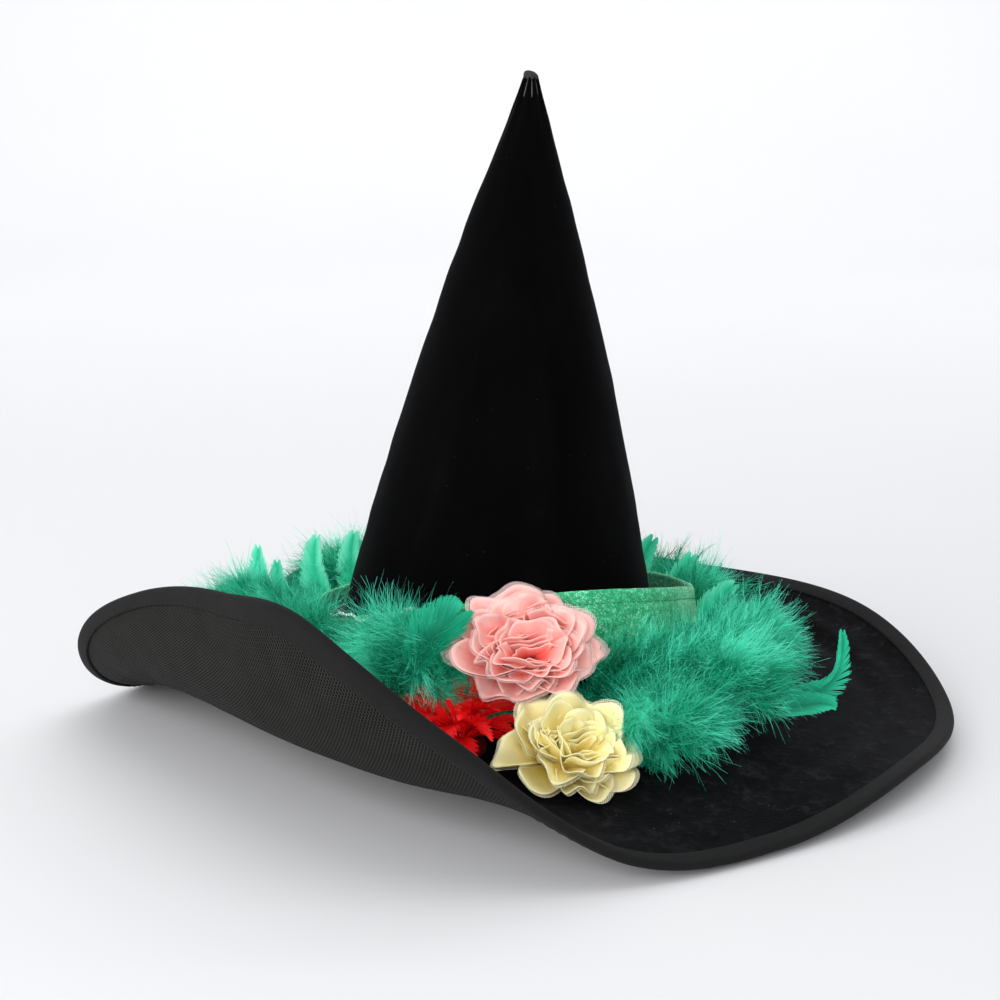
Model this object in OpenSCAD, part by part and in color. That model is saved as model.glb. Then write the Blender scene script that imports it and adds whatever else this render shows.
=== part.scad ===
// Witch hat: a tall leaning velvet crown on a wide wired brim that rolls up at the front left,
// with a crushed-velvet band, a feather boa, three flowers and a short strand of beads.
// Millimetres, +Z up, +Y away from the flowered side, +X towards the side that the crown leans to.

/* [Crown] */
// Outer radius of the crown where it meets the brim
crown_r = 92; // [80:0.5:112]
// Height of the crown along its own axis, up to the gathered tip
crown_h = 340; // [220:5:420]
// Radius of the crown at its tip
tip_r = 4; // [3:0.5:8]
// Height of the upright foot that holds the sweatband
foot_h = 22; // [14:1:30]
// Roundness of the crown's side, where 1 is a straight cone
crown_bulge = 1.21; // [1:0.01:1.5]
// Lean of the crown towards +X, in degrees
crown_lean = 3.3; // [0:0.1:10]
// Height of the crown's foot above the surface that the hat lies on
foot_z = 43; // [38:1:60]

/* [Crown cloth] */
// Thickness of the crown's velvet
velvet_t = 1; // [0.5:0.1:2]
// Thickness of the stiff cone under the velvet
buckram_t = 1; // [0.5:0.1:2]
// Thickness of the lining
lining_t = 0.5; // [0.3:0.1:1.5]
// Thickness of the sweatband
sweat_t = 1.5; // [0.5:0.1:2]

/* [Brim] */
// Mean radius of the brim's edge, measured on the flat cloth
brim_r = 264; // [200:1:320]
// Thickness of the brim's stiff core
core_t = 1.2; // [0.8:0.1:3]
// Thickness of the velvet on top of the brim
nap_t = 1; // [0.5:0.1:2]
// Thickness of the net cloth under the brim
net_t = 1; // [0.3:0.1:1.5]
// Gap between the crown and the brim's inner edge
brim_gap = 0.5; // [0.3:0.1:0.8]
// Direction of the rolled side, in degrees from +X
roll_dir = 215; // [200:1:230]
// Distance from the crown's foot to the start of the roll
roll_gap = 38; // [28:1:78]
// Radius of the roll
roll_r = 80; // [60:1:110]

/* [Binding] */
// Width of the binding on each face of the brim
binding_w = 6.5; // [6:0.5:14]
// Thickness of the binding
binding_t = 0.8; // [0.5:0.1:1.2]
// Radius of the wire in the brim's edge
wire_r = 1.3; // [0.8:0.1:1.4]
// Radius of a sewing thread
thread_r = 0.35; // [0.2:0.05:0.5]

/* [Band] */
// How far the band's top edge stands off the crown's foot
band_stand = 23; // [20:1:38]
// Width of the band
band_w = 42; // [25:1:50]
// Thickness of the band
band_t = 3; // [2:0.5:5]
// How far the band's lower edge stands out past its top edge
band_flare = 6; // [0:1:12]
// Distance from the band's top edge to its hem stitching
hem_w = 7; // [4:0.5:12]

/* [Beads] */
// Radius of a bead
bead_r = 1.5; // [1.2:0.1:4]
// Number of beads on the strand
bead_count = 20; // [6:1:24]

/* [Boa] */
// Radius of the boa's cord
cord_r = 3; // [2:0.5:4]
// Thickness of a loose feather at its quill
quill_t = 1.2; // [0.8:0.1:2]

/* [Flowers] */
// Radius of the pink flower
pink_r = 44; // [36:1:50]
// Radius of the yellow flower
yellow_r = 41; // [34:1:46]
// Length of the red flower's feathers
red_r = 40; // [30:1:44]
// Radius of the felt pad under a flower
felt_r = 15; // [10:1:20]
// Thickness of the felt pad
felt_t = 2; // [1:0.5:3]
// Thickness of a satin petal ring
petal_t = 1.6; // [1:0.2:3]

/* [Hidden] */
$fn = 72;

// Radius of the band's top edge, and distance from the crown's axis to the start of the roll.
band_r = crown_r + band_stand;
roll_from = crown_r + roll_gap;

// The crown's axis stands here, so that the middle of the whole hat is at the origin.
crown_at = [-11, 4, 0];

// Angle, extra flat radius and height of the brim's edge, all the way round.
EDGE = [
    [0, 8, 13], [30, 9, 37], [60, 3, 39], [90, -8, 48], [120, -20, 47],
    [145, -29, 6], [165, -20, 3], [185, 4, 2], [205, 14, 5], [225, 14, 26],
    [245, 5, 69], [265, 1, 67], [285, -2, 13], [305, -8, 5], [330, -3, 16]
];
// Angle and height of the band's top edge.
BAND = [[0, 86], [60, 74], [140, 69], [180, 71], [215, 84], [250, 102], [290, 111], [330, 100]];
// Places round the crown are rows of angle, distance past the band's top edge, and height.
// Angle, distance past the band, reach, width and height of each tuft of the boa.
TUFTS = [
    [322, 11, 66, 84, 56], [303, 26, 48, 66, 36], [355, 11, 50, 74, 42],
    [36, 11, 40, 80, 42], [84, 11, 38, 88, 42], [130, 11, 46, 82, 48],
    [176, 11, 48, 80, 50], [222, 9, 38, 72, 84], [250, 9, 32, 56, 88]
];
// Angle of the root on the boa's cord, place of the tip, sideways bow and half width of each plume.
PLUMES_LEFT = [
    [160, [153, 53, 88], [-8, 0, -6], 7], [152, [151, 43, 78], [-6, 0, -4], 6],
    [144, [141, 33, 90], [-6, 0, 0], 7], [134, [133, 19, 92], [-4, 0, 0], 7],
    [121, [121, 18, 84], [-4, 0, 0], 7]
];
PLUMES_RIGHT = [
    [46, [46, 26, 86], [-4, 0, 0], 8], [35, [34, 32, 80], [2, 0, 4], 8],
    [20, [19, 37, 70], [2, 0, 4], 8]
];
// Places of base and tip, sideways bow and half width of the feathers that lie on the boa's lobes.
HACKLES = [
    [[-28, 62, 47], [-17, 91, 72], [10, -4, -12], 6], [[-35.5, 74, 42], [-30.5, 98, 46], [4, 0, 3], 5]
];
SMOOTH = [[[252.5, 36, 74], [261, 31, 106], [-2, -3, 2], 11]];

// Height that the brim's cloth sags to between the crown and the edge.
sag_z = 4;
// How quickly the brim drops from the crown, and how late it follows its edge.
drop_power = 1.1;
edge_power = 3.4;
// Free space on each side of the wire in its pocket.
wire_play = 0.3;
// Total thickness above and below the middle of the brim's core.
over_t = core_t / 2 + nap_t;
under_t = core_t / 2 + net_t;
// What the wire and the binding add to the brim's cloth edge.
edge_over = 2 * wire_r + binding_t;
// Facets along and across the brim.
brim_turns = 72;
brim_rows = 7;
fine_turns = 60;
seat_gap = 0.2;
lining_inset = velvet_t + buckram_t + lining_t;

// ---- Shared shapes ----

function unit(v) = v / norm(v);
function turn(i, n) = 360 * i / n;
function out(a) = [cos(a), sin(a), 0];

// Smooth closed curve through the rows of a table, read at angle a in column c.
function row_at(rows, i) =
    let (n = len(rows), k = floor(i / n), r = rows[i - k * n])
    [for (c = [0:len(r) - 1]) c == 0 ? r[0] + 360 * k : r[c]];
function span(rows, a, i = 0) = a < row_at(rows, i + 1)[0] ? i : span(rows, a, i + 1);
function smooth(rows, angle, c) =
    let (
        a = angle - 360 * floor(angle / 360), i = span(rows, a),
        p = [for (k = [-1:2]) row_at(rows, i + k)],
        d = p[2][0] - p[1][0], t = (a - p[1][0]) / d,
        m1 = (p[2][c] - p[0][c]) / (p[2][0] - p[0][0]) * d,
        m2 = (p[3][c] - p[1][c]) / (p[3][0] - p[1][0]) * d
    )
    p[1][c] * (2 * pow(t, 3) - 3 * t * t + 1) + m1 * (pow(t, 3) - 2 * t * t + t)
    + p[2][c] * (3 * t * t - 2 * pow(t, 3)) + m2 * (pow(t, 3) - t * t);

// Two triangles between point j and the next of sections i and k, with m points each.
function panel(i, k, j, m) =
    let (l = (j + 1) % m) [[i * m + j, k * m + j, k * m + l], [i * m + j, k * m + l, i * m + l]];

// Solid ring through closed sections that follow one another round the crown.
module loop_solid(sections) {
    n = len(sections);
    m = len(sections[0]);
    polyhedron(
        points = [for (s = sections) for (p = s) p],
        faces = [for (i = [0:n - 1]) for (j = [0:m - 1]) for (f = panel(i, (i + 1) % n, j, m)) f]
    );
}

// Solid bar through closed sections, with flat ends.
module bar_solid(sections) {
    n = len(sections);
    m = len(sections[0]);
    polyhedron(
        points = [for (s = sections) for (p = s) p],
        faces = concat(
            [for (i = [0:n - 2]) for (j = [0:m - 1]) for (f = panel(i, i + 1, j, m)) f],
            [for (j = [1:m - 2]) [0, j, j + 1]],
            [for (j = [1:m - 2]) (n - 1) * m * [1, 1, 1] + [0, j + 1, j]]
        )
    );
}

// Round section of radius r at point p, across the plane of u and v.
function disc(p, r, u, v, sides) =
    [for (k = [0:sides - 1]) let (q = -turn(k, sides)) p + r * (cos(q) * u + sin(q) * v)];

// ---- Crown ----

// The crown's outer radius at height h along its axis.
function crown_side(h) =
    h <= foot_h ? crown_r
    : crown_r - (crown_r - tip_r) * pow((h - foot_h) / (crown_h - foot_h), crown_bulge);

// Profile of the crown, set in by a wall on the side and at the top.
function crown_line(inset) =
    let (top = crown_h - inset, steps = 20)
    concat([[crown_r - inset, -over_t]],
        [for (i = [0:steps]) let (h = foot_h + (top - foot_h) * i / steps) [crown_side(h) - inset, h]]);
function reversed(v) = [for (i = [len(v) - 1:-1:0]) v[i]];

module on_crown_axis() {
    translate(crown_at + [0, 0, foot_z]) rotate([0, crown_lean, 0]) children();
}

module crown_wall(inner, outer) {
    a = crown_line(outer);
    b = crown_line(inner);
    on_crown_axis() rotate_extrude() polygon(concat(
        b, [[0, b[len(b) - 1][1]], [0, a[len(a) - 1][1]]], reversed(a)));
}

module crown_velvet() color([0.03, 0.03, 0.03]) crown_wall(0, velvet_t);
module crown_buckram() color([0.12, 0.12, 0.12]) crown_wall(velvet_t, velvet_t + buckram_t);
module crown_lining() color([0.08, 0.08, 0.09]) crown_wall(velvet_t + buckram_t, lining_inset);

// Gathered button of cloth that closes the tip.
module crown_tip() {
    color([0.04, 0.04, 0.04]) on_crown_axis() translate([0, 0, crown_h]) rotate_extrude()
        polygon(concat([[0, 0]], [for (q = [0:15:90]) tip_r * [cos(q), 0.9 * sin(q)]]));
}

// Straight band against the lining, which rests on the head.
module sweatband() {
    color([0.1, 0.1, 0.11]) on_crown_axis() difference() {
        cylinder(r = crown_r - lining_inset, h = foot_h);
        translate([0, 0, -1]) cylinder(r = crown_r - lining_inset - sweat_t, h = foot_h + 2);
    }
}

// ---- Brim ----

function cloth_r(a) = brim_r + smooth(EDGE, a, 1) - edge_over;
function inner_r() = crown_r + brim_gap;

// Height of the flat-cut cloth at share s of the way out, before the side is rolled.
function hang_z(s, a) =
    let (
        t = max(s, 0), q = 1 - pow(max(1 - t, 0), drop_power), w = pow(t, edge_power),
        start = foot_z - tan(crown_lean) * crown_r * cos(a)
    )
    start * (1 - q) + smooth(EDGE, a, 2) * w + sag_z * (q - w);

// Middle of the brim's core at share s and angle a, rolled up past a straight line.
function brim_pt(s, a) =
    let (
        p = (inner_r() + (cloth_r(a) - inner_r()) * s) * out(a),
        n = out(roll_dir), t = out(roll_dir + 90),
        u = p * n - roll_from, turned = max(u, 0) / roll_r * 180 / PI,
        along = u > 0 ? roll_from + roll_r * sin(turned) : p * n
    )
    along * n + (p * t) * t + [0, 0, hang_z(s, a) + roll_r * (1 - cos(turned))];

function brim_outward(s, a) = unit(brim_pt(s + 0.01, a) - brim_pt(s - 0.01, a));
function brim_normal(s, a) =
    unit(cross(brim_pt(s + 0.01, a) - brim_pt(s - 0.01, a), brim_pt(s, a + 0.5) - brim_pt(s, a - 0.5)));
function brim_off(s, a, d) = brim_pt(s, a) + d * brim_normal(s, a);

// Share at which the binding's inner edge lies.
function bound_s(a) = 1 - binding_w / (cloth_r(a) - inner_r());
function row_s(j, a) = j > brim_rows ? 1 : bound_s(a) * j / brim_rows;

module brim_layer(low, high) {
    translate(crown_at) loop_solid([for (i = [0:brim_turns - 1]) let (a = turn(i, brim_turns))
        concat([for (j = [0:brim_rows + 1]) brim_off(row_s(j, a), a, high)],
            [for (j = [brim_rows + 1:-1:0]) brim_off(row_s(j, a), a, low)])]);
}

module brim_velvet() color([0.1, 0.1, 0.11]) brim_layer(core_t / 2, over_t);
module brim_core() color([0.2, 0.2, 0.2]) brim_layer(-core_t / 2, core_t / 2);
module brim_net() color([0.15, 0.15, 0.14]) brim_layer(-under_t, -core_t / 2);

// Point beyond the cloth's edge, e outwards and d along the normal.
function edge_pt(a, e, d) = brim_pt(1, a) + e * brim_outward(0.99, a) + d * brim_normal(0.99, a);

module brim_wire() {
    color([0.6, 0.6, 0.62]) translate(crown_at) loop_solid([for (i = [0:brim_turns - 1])
        let (a = turn(i, brim_turns), mid = (over_t - under_t) / 2)
        disc(edge_pt(a, wire_r, mid), wire_r - wire_play / 2,
            brim_outward(0.99, a), brim_normal(0.99, a), 8)]);
}

module brim_binding() {
    hi = over_t + binding_t;
    lo = under_t + binding_t;
    color([0.18, 0.18, 0.19]) translate(crown_at) loop_solid([for (i = [0:brim_turns - 1])
        let (a = turn(i, brim_turns), s = bound_s(a), e = 2 * wire_r)
        [
            brim_off(s, a, over_t), brim_off(s, a, hi), brim_off(1, a, hi),
            edge_pt(a, e, over_t), edge_pt(a, e + binding_t, 0.4 * over_t),
            edge_pt(a, e + binding_t, -0.4 * under_t), edge_pt(a, e, -under_t),
            brim_off(1, a, -lo), brim_off(s, a, -lo), brim_off(s, a, -under_t),
            brim_off(1, a, -under_t), edge_pt(a, e, -0.6 * under_t),
            edge_pt(a, e, 0.6 * over_t), brim_off(1, a, over_t)
        ]]);
}

// Row of sewing along the binding's inner edge, on one face.
module binding_stitch(d) {
    color([0.3, 0.3, 0.31]) translate(crown_at) loop_solid([for (i = [0:brim_turns - 1])
        let (a = turn(i, brim_turns), s = bound_s(a) + 0.005)
        disc(brim_off(s, a, d), thread_r, brim_outward(s, a), brim_normal(s, a), 4)]);
}
module stitch_top() binding_stitch(over_t + binding_t + thread_r);
module stitch_under() binding_stitch(-under_t - binding_t - thread_r);

// ---- Band ----

function band_top(a) = smooth(BAND, a, 1);
// Height of the brim's velvet under radius r, short of the roll.
function velvet_z(r, a) =
    let (s = (r - inner_r()) / (cloth_r(a) - inner_r())) brim_off(s, a, over_t)[2];
function band_foot(a) = max(band_top(a) - band_w, velvet_z(band_r + band_flare, a) + seat_gap);
function band_out(a, z) =
    band_r + band_flare * (band_top(a) - z) / band_w;
function at(r, a, z) = r * out(a) + [0, 0, z];
function past_band(p) = at(band_r + p[1], p[0], p[2]);

module hat_band() {
    half = band_t / 2;
    color([0.16, 0.6, 0.32]) translate(crown_at) loop_solid([for (i = [0:fine_turns - 1])
        let (a = turn(i, fine_turns), top = band_top(a), foot = band_foot(a), hem = top - hem_w)
        [
            at(band_r - half, a, top - half), at(band_r, a, top), at(band_r + half, a, top - half),
            at(band_out(a, hem) + half, a, hem), at(band_out(a, foot) + half, a, foot),
            at(band_out(a, foot) - half, a, foot), at(band_out(a, hem) - half, a, hem)
        ]]);
}

module band_stitch() {
    color([0.1, 0.45, 0.24]) translate(crown_at) loop_solid([for (i = [0:fine_turns - 1])
        let (a = turn(i, fine_turns), z = band_top(a) - hem_w)
        disc(at(band_out(a, z) + band_t / 2 + thread_r, a, z), thread_r, out(a), [0, 0, 1], 4)]);
}

// Soft roll that holds the band off the crown.
module band_wadding() {
    color([0.12, 0.12, 0.13]) translate(crown_at) loop_solid([for (i = [0:fine_turns - 1])
        let (
            a = turn(i, fine_turns), floor_z = velvet_z(inner_r() + seat_gap, a) + seat_gap,
            low = max(band_foot(a), floor_z), tall = min((band_top(a) - low) / 2 - 1, wadding_tall),
            z = max((band_top(a) + band_foot(a)) / 2, low + tall),
            near = crown_side(z - foot_z) + tan(crown_lean) * (z - foot_z) * cos(a) + seat_gap,
            far = band_out(a, z) - band_t / 2 - seat_gap
        )
        [for (k = [0:9]) let (q = -turn(k, 10))
            at((near + far) / 2 + (far - near) / 2 * cos(q), a, z + tall * sin(q))]]);
}

// Half the height of the soft roll behind the band.
wadding_tall = 14;

// ---- Beads ----

bead_from = 216;
bead_pitch = 2 * bead_r / band_r * 180 / PI * 1.03;
function bead_a(i) = bead_from + bead_pitch * i;
function bead_pt(i) = at(band_r, bead_a(i), band_top(bead_a(i)) + bead_r);
function bead_dir(i) = unit(bead_pt(i + 0.5) - bead_pt(i - 0.5));

module beads() {
    color([0.8, 0.82, 0.84]) translate(crown_at) for (i = [0:bead_count - 1]) {
        d = bead_dir(i);
        translate(bead_pt(i)) rotate([0, acos(d[2]), atan2(d[1], d[0])]) difference() {
            sphere(r = bead_r, $fn = 24);
            cylinder(r = 2 * thread_r, h = 3 * bead_r, center = true, $fn = 16);
        }
    }
}

module bead_thread() {
    color([0.7, 0.7, 0.7]) translate(crown_at) bar_solid([for (i = [-1:0.5:bead_count])
        let (d = bead_dir(i), side = unit(cross(d, [0, 0, 1])))
        disc(bead_pt(i), thread_r, side, cross(side, d), 6)]);
}

// ---- Boa ----

function boa_r(a) = band_out(a, band_foot(a)) + band_t / 2 + cord_r + 1;

function cord_pt(a) = at(boa_r(a), a, velvet_z(boa_r(a), a) + cord_r + 2 * seat_gap);

module boa_cord() {
    color([0.02, 0.5, 0.36]) translate(crown_at) loop_solid([for (i = [0:fine_turns - 1])
        let (a = turn(i, fine_turns)) disc(cord_pt(a), cord_r, out(a), [0, 0, 1], 8)]);
}

// Middle of a soft lobe of down, high enough that its underside clears the brim all over.
function tuft_mid(t) = band_r + t[1] + t[2] / 2;
function tuft_z(t) = seat_gap + max([for (u = [-0.8:0.4:0.8], v = [-0.5, 0, 0.5])
    let (p = (tuft_mid(t) + u * t[2] / 2) * out(t[0]) + v * t[3] / 2 * out(t[0] + 90))
    velvet_z(norm(p), atan2(p[1], p[0])) + t[4] / 2 * sqrt(1 - u * u - v * v)]);

module tuft(i) {
    t = TUFTS[i];
    color([0.04, 0.66, 0.49]) translate(crown_at) translate(at(tuft_mid(t), t[0], tuft_z(t)))
        rotate([0, 0, t[0]]) scale([t[2], t[3], t[4]]) sphere(d = 1, $fn = 20);
}

// Flat curved feather from base to tip, with its blade widest at the middle.
function feather_pt(f, t) = f[0] + (f[1] - f[0]) * t + f[2] * 4 * t * (1 - t);
module feather(f) {
    steps = 9;
    translate(crown_at) bar_solid([for (i = [0:steps])
        let (
            t = i / steps, p = feather_pt(f, t),
            d = unit(feather_pt(f, t + 0.05) - feather_pt(f, t - 0.05)),
            side = unit(cross(d, [0.3, -1, 0])), up = cross(side, d),
            w = f[3] * sin(180 * pow(t, 0.8)) + quill_t / 2
        )
        [p + w * side, p - quill_t / 2 * up, p - w * side, p + quill_t / 2 * up]]);
}

// The same with its quill tied to the top of the boa's cord.
module plume(f)
    feather([cord_pt(f[0]) + [0, 0, cord_r + quill_t / 2], past_band(f[1]), f[2], f[3]]);
module loose_feather(f) feather([past_band(f[0]), past_band(f[1]), f[2], f[3]]);

module plumes_left() color([0.1, 0.7, 0.55]) for (f = PLUMES_LEFT) plume(f);
module plumes_right() color([0.1, 0.7, 0.55]) for (f = PLUMES_RIGHT) plume(f);
module hackle_feathers() color([0.05, 0.68, 0.5]) for (f = HACKLES) loose_feather(f);
module smooth_feather() color([0.03, 0.6, 0.45]) for (f = SMOOTH) loose_feather(f);

// ---- Flowers ----

// Place on the brim's velvet past the band's top edge at angle a, square to the cloth.
module on_brim(past, a) {
    s = (band_r + past - inner_r()) / (cloth_r(a) - inner_r());
    n = brim_normal(s, a);
    translate(crown_at + brim_off(s, a, over_t + seat_gap))
        rotate([0, acos(n[2]), atan2(n[1], n[0])]) children();
}

// Place on the outside of the band, leaning back by tilt degrees from the vertical.
module on_band(a, z, tilt) {
    translate(crown_at + at(band_out(a, z) + band_t / 2, a, z)) rotate([0, 90 - tilt, a])
        translate([0, 0, felt_r * sin(tilt)]) children();
}

module felt() cylinder(r = felt_r, h = felt_t, $fn = 48);

// Ring of ruffled petals: a wavy dish of radius r, starting at height z and rising by rise.
module ruffle(r, z, rise, waves, sway) {
    around = 40;
    across = 3;
    eye = 3;
    loop_solid([for (i = [0:around - 1]) let (a = turn(i, around))
        concat(
            [for (j = [0:across]) ruffle_pt(a, j / across, r, z + petal_t, rise, waves, sway, eye)],
            [for (j = [across:-1:0]) ruffle_pt(a, j / across, r, z, rise, waves, sway, eye)]
        )]);
}
function ruffle_pt(a, t, r, z, rise, waves, sway, eye) =
    let (wave = sin(waves * a) * t * t)
    at(eye + (r - eye) * t * (1 + 0.06 * wave), a, z + rise * pow(t, 1.5) + sway * (wave + t * t));

// Angle, height and backward lean of the pink flower on the band.
pink = [278, 80, 40];
// Distance past the band and angle of the flowers on the brim, and how far the yellow one tips outwards.
yellow_at = [54, 282];
yellow_lean = 25;
red_at = [28.5, 262];
pink_color = [0.94, 0.55, 0.53];
yellow_color = [0.94, 0.88, 0.6];
red_color = [0.74, 0.02, 0.04];

module on_pink() on_band(pink[0], pink[1], pink[2]) children();
module on_yellow() {
    on_brim(yellow_at[0], yellow_at[1]) translate([felt_r, 0, 0]) rotate([0, yellow_lean, 0])
        translate([-felt_r, 0, 0]) children();
}
module on_red() on_brim(red_at[0], red_at[1]) children();

module pink_felt() color("dimgray") on_pink() felt();
module pink_outer() color(pink_color) on_pink() ruffle(pink_r, felt_t, 8, 7, 3);
module pink_middle()
    color(pink_color) on_pink() ruffle(0.75 * pink_r, felt_t + petal_t, 16, 6, 3);
module pink_heart()
    color(pink_color) on_pink() ruffle(0.45 * pink_r, felt_t + 2 * petal_t, 20, 5, 3);

module yellow_felt() color("dimgray") on_yellow() felt();
module yellow_outer() color(yellow_color) on_yellow() ruffle(yellow_r, felt_t, 9, 7, 3);
module yellow_middle()
    color(yellow_color) on_yellow() ruffle(0.75 * yellow_r, felt_t + petal_t, 18, 6, 3);
module yellow_heart()
    color(yellow_color) on_yellow() ruffle(0.45 * yellow_r, felt_t + 2 * petal_t, 22, 5, 3);

module red_felt() color([0.3, 0.02, 0.03]) on_red() felt();

// Feathers that fan out in two rings from the red flower's pad.
module red_feathers() {
    color(red_color) for (ring = [0, 1]) for (i = [0:6 - ring]) {
        a = turn(i + ring / 2, 7);
        up = 20 + 25 * ring;
        on_red() translate([0, 0, felt_t + quill_t]) rotate([0, 0, a])
            translate(-crown_at) feather([[4 + ring, 0, 0],
                [red_r * cos(up), 0, red_r * sin(up)], [-2, 0, 5], 9]);
    }
}

crown_velvet();
crown_tip();
crown_buckram();
crown_lining();
sweatband();
brim_velvet();
brim_core();
brim_net();
brim_wire();
brim_binding();
stitch_top();
stitch_under();
band_wadding();
hat_band();
band_stitch();
beads();
bead_thread();
boa_cord();
tuft(0);  // boa_tuft_1
tuft(1);  // boa_tuft_2
tuft(2);  // boa_tuft_3
tuft(3);  // boa_tuft_4
tuft(4);  // boa_tuft_5
tuft(5);  // boa_tuft_6
tuft(6);  // boa_tuft_7
tuft(7);  // boa_tuft_8
tuft(8);  // boa_tuft_9
plumes_left();
plumes_right();
hackle_feathers();
smooth_feather();
pink_felt();
pink_outer();
pink_middle();
pink_heart();
yellow_felt();
yellow_outer();
yellow_middle();
yellow_heart();
red_felt();
red_feathers();
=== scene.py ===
import math

import bmesh
import bpy
import numpy as np
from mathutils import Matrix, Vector


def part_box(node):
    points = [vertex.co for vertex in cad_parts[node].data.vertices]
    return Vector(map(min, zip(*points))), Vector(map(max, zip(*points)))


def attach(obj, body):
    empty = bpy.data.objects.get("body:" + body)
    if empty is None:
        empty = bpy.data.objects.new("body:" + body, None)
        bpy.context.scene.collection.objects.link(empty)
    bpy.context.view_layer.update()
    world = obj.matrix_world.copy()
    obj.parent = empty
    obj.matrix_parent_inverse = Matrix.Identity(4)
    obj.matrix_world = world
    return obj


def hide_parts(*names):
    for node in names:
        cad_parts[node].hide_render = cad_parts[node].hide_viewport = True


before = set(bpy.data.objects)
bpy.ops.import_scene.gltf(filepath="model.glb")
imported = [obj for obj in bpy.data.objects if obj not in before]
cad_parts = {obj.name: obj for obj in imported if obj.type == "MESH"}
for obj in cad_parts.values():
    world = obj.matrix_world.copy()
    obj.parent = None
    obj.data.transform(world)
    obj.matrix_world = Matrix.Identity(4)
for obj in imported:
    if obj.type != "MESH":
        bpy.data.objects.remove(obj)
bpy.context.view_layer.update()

MM = 0.001
UP = np.array([0, 0, 1.0])
SAME_POINT = 2e-7

# ---------------------------------------------------------------- the hat's own sizes

# Crown: foot, lean and profile.
FOOT = np.array([-0.011, 0.004, 0.043])
LEAN = math.radians(3.3)
CROWN_R = 0.092
CROWN_H = 0.340
TIP_R = 0.004
FOOT_H = 0.022
BULGE = 1.21
WALLS = {"velvet": 0.001, "buckram": 0.001, "lining": 0.0005, "sweat": 0.0015}

# Brim: edge table of angle, extra flat radius and height in millimetres, and the roll.
EDGE = np.array([
    [0, 8, 13], [30, 9, 37], [60, 3, 39], [90, -8, 48], [120, -20, 47],
    [145, -29, 6], [165, -20, 3], [185, 4, 2], [205, 14, 5], [225, 14, 26],
    [245, 5, 69], [265, 1, 67], [285, -2, 13], [305, -8, 5], [330, -3, 16],
], float)
BRIM_R = 0.264
EDGE_OVER = 0.0034
INNER_R = CROWN_R + 0.0005
ROLL_DIR = math.radians(215)
ROLL_FROM = 0.130
ROLL_R = 0.080
SAG_Z = 0.004
DROP_POWER = 1.1
EDGE_POWER = 3.4
OVER = 0.0016
UNDER = 0.0016
BINDING_W = 0.0065
BINDING_T = 0.0008

# Band: angle and height of its top edge in millimetres, then its section.
BAND = np.array([[0, 86], [60, 74], [140, 69], [180, 71], [215, 84], [250, 102], [290, 111], [330, 100]], float)
BAND_R = 0.115
BAND_W = 0.042
BAND_T = 0.003
BAND_FLARE = 0.006


def out(a):
    """Unit vector away from the crown's foot at angle a, in radians."""
    return np.stack([np.cos(a), np.sin(a), np.zeros_like(a)], -1)


def smooth_row(rows, a, column):
    """Smooth closed curve through a table, read at angle a in radians; gives metres."""
    angles, values = rows[:, 0], rows[:, column]
    x = np.concatenate([angles[-2:] - 360, angles, angles[:2] + 360])
    y = np.concatenate([values[-2:], values, values[:2]])
    slope = np.zeros(len(x))
    slope[1:-1] = (y[2:] - y[:-2]) / (x[2:] - x[:-2])
    turned = np.degrees(a) % 360
    i = np.clip(np.searchsorted(x, turned, side="right") - 1, 1, len(x) - 3)
    d = x[i + 1] - x[i]
    t = (turned - x[i]) / d
    held = (2 * t**3 - 3 * t**2 + 1) * y[i] + (3 * t**2 - 2 * t**3) * y[i + 1]
    return MM * (held + (t**3 - 2 * t**2 + t) * d * slope[i] + (t**3 - t**2) * d * slope[i + 1])


def unit(v):
    return v / np.maximum(np.linalg.norm(v, axis=-1, keepdims=True), 1e-12)


def cloth_r(a):
    return BRIM_R + smooth_row(EDGE, a, 1) - EDGE_OVER


def brim_mid(s, a):
    """Middle of the brim's core at share s of the way out and angle a."""
    s, a = np.broadcast_arrays(np.asarray(s, float), np.asarray(a, float))
    t = np.clip(s, 0, None)
    drop = 1 - np.clip(1 - t, 0, None) ** DROP_POWER
    follow = t**EDGE_POWER
    start = FOOT[2] - math.tan(LEAN) * CROWN_R * np.cos(a)
    z = start * (1 - drop) + smooth_row(EDGE, a, 2) * follow + SAG_Z * (drop - follow)
    p = (INNER_R + (cloth_r(a) - INNER_R) * s)[..., None] * out(a)
    n, side = out(np.array(ROLL_DIR)), out(np.array(ROLL_DIR + math.pi / 2))
    u = p @ n - ROLL_FROM
    turned = np.maximum(u, 0) / ROLL_R
    along = np.where(u > 0, ROLL_FROM + ROLL_R * np.sin(turned), p @ n)
    z = z + ROLL_R * (1 - np.cos(turned))
    flat = along[..., None] * n + (p @ side)[..., None] * side
    return flat + z[..., None] * UP + [FOOT[0], FOOT[1], 0]


def brim_axes(s, a):
    """Outward and normal directions of the brim."""
    step = 0.01
    outward = unit(brim_mid(s + step, a) - brim_mid(s - step, a))
    along = unit(brim_mid(s, a + step) - brim_mid(s, a - step))
    return outward, unit(np.cross(outward, along))


def brim_at(s, a, rise):
    """Point of the brim, raised by rise along its normal."""
    normal = brim_axes(s, a)[1]
    return brim_mid(s, a) + np.asarray(rise)[..., None] * normal


def crown_radius(h):
    t = np.clip((h - FOOT_H) / (CROWN_H - FOOT_H), 0, None)
    return np.where(h <= FOOT_H, CROWN_R, CROWN_R - (CROWN_R - TIP_R) * t**BULGE)


def on_crown_axis(p):
    """Turns points from the crown's own axes to the hat's."""
    c, s = math.cos(LEAN), math.sin(LEAN)
    turn = np.array([[c, 0, s], [0, 1, 0], [-s, 0, c]])
    return p @ turn.T + FOOT


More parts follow.
